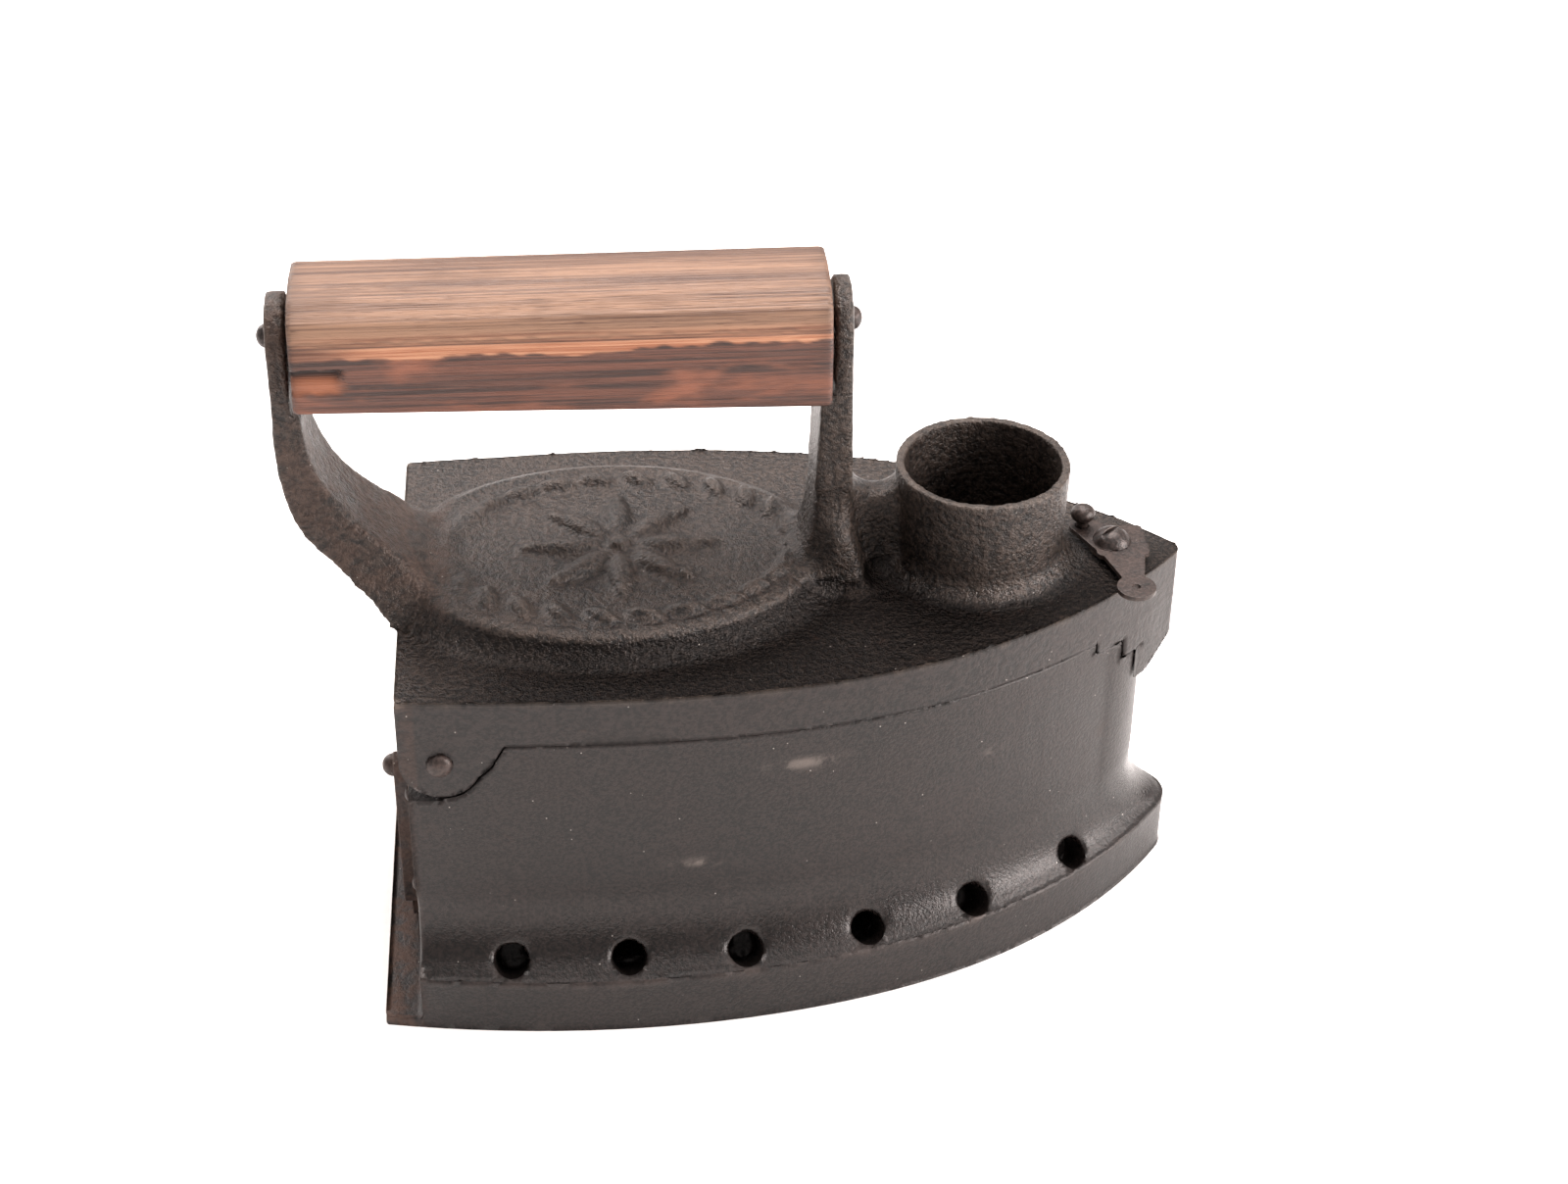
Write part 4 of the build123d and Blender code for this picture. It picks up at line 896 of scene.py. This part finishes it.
# ---- studio ----
def studio():
    """A pale floor, soft light from all round and a large light overhead."""
    material, tree, shader = new_material("paper_floor")
    place = node(tree, "ShaderNodeTexCoord").outputs["Object"]
    fibre = node(tree, "ShaderNodeTexNoise", {
        "Vector": place, "Scale": per_mm(1.5), "Detail": 3.0}).outputs[0]
    tree.links.new(coats(tree, "#F4F2F1", [(fibre, "#FAF9F8")]), shader.inputs["Base Color"])
    shader.inputs["Roughness"].default_value = 0.8
    half = 6.0
    mesh = bpy.data.meshes.new("paper_floor")
    corners = [(-half, -half, 0), (half, -half, 0), (half, half, 0), (-half, half, 0)]
    mesh.from_pydata(corners, [], [(0, 1, 2, 3)])
    mesh.materials.append(material)
    new_piece("paper_floor", mesh)

    world = bpy.data.worlds.new("studio")
    bpy.context.scene.world = world
    world.use_nodes = True
    sky = world.node_tree.nodes["Background"]
    sky.inputs["Color"].default_value = STUDIO_LIGHT + (1.0,)
    sky.inputs["Strength"].default_value = 0.7
    lights = (
        # name, place, size, power
        ("overhead", (0.1, 0.35, 1.4), 1.3, 42.0),
        ("right_side", (1.1, -0.45, 0.5), 0.8, 30.0),
        ("left_back", (-0.8, 1.1, 0.7), 0.8, 12.0),
    )
    for name, place, size, power in lights:
        data = bpy.data.lights.new(name, "AREA")
        data.shape = "DISK"
        data.size = size
        data.energy = power
        data.color = STUDIO_LIGHT
        lamp = bpy.data.objects.new(name, data)
        bpy.context.scene.collection.objects.link(lamp)
        lamp.location = place
        lamp.rotation_euler = (Vector((0, 0, 0.07)) - Vector(place)).to_track_quat("-Z", "Y").to_euler()
    view = bpy.context.scene.view_settings
    view.view_transform = "Standard"
    view.look = "None"


def camera():
    """A standing view, down on the iron's right-hand side."""
    yaw, pitch, roll = (math.radians(a) for a in (-5.0, 34.65, 0.67))
    stand = (-0.0488, -0.5613, 0.4713)
    ahead = Vector((-math.sin(yaw), math.cos(yaw), 0))
    right = Vector((math.cos(yaw), math.sin(yaw), 0))
    up = Vector((0, 0, 1))
    forward = ahead * math.cos(pitch) - up * math.sin(pitch)
    over = up * math.cos(pitch) + ahead * math.sin(pitch)
    across = right * math.cos(roll) + over * math.sin(roll)
    above = over * math.cos(roll) - right * math.sin(roll)
    data = bpy.data.cameras.new("camera")
    data.lens = 64.28
    data.sensor_width = 36.0
    data.clip_start = 0.01
    eye = bpy.data.objects.new("camera", data)
    bpy.context.scene.collection.objects.link(eye)
    turn = Matrix((across, above, -forward)).transposed().to_4x4()
    eye.matrix_world = Matrix.Translation(stand) @ turn
    bpy.context.scene.camera = eye


studio()
camera()
body_cast()
lid_cast()
for number, part in enumerate(SMALL_PARTS):
    small_part(*part, seed=20 + number)
for number, row in enumerate(RIVET_SETS):
    rivet_set(*row, seed=50 + number)
grip_wood()
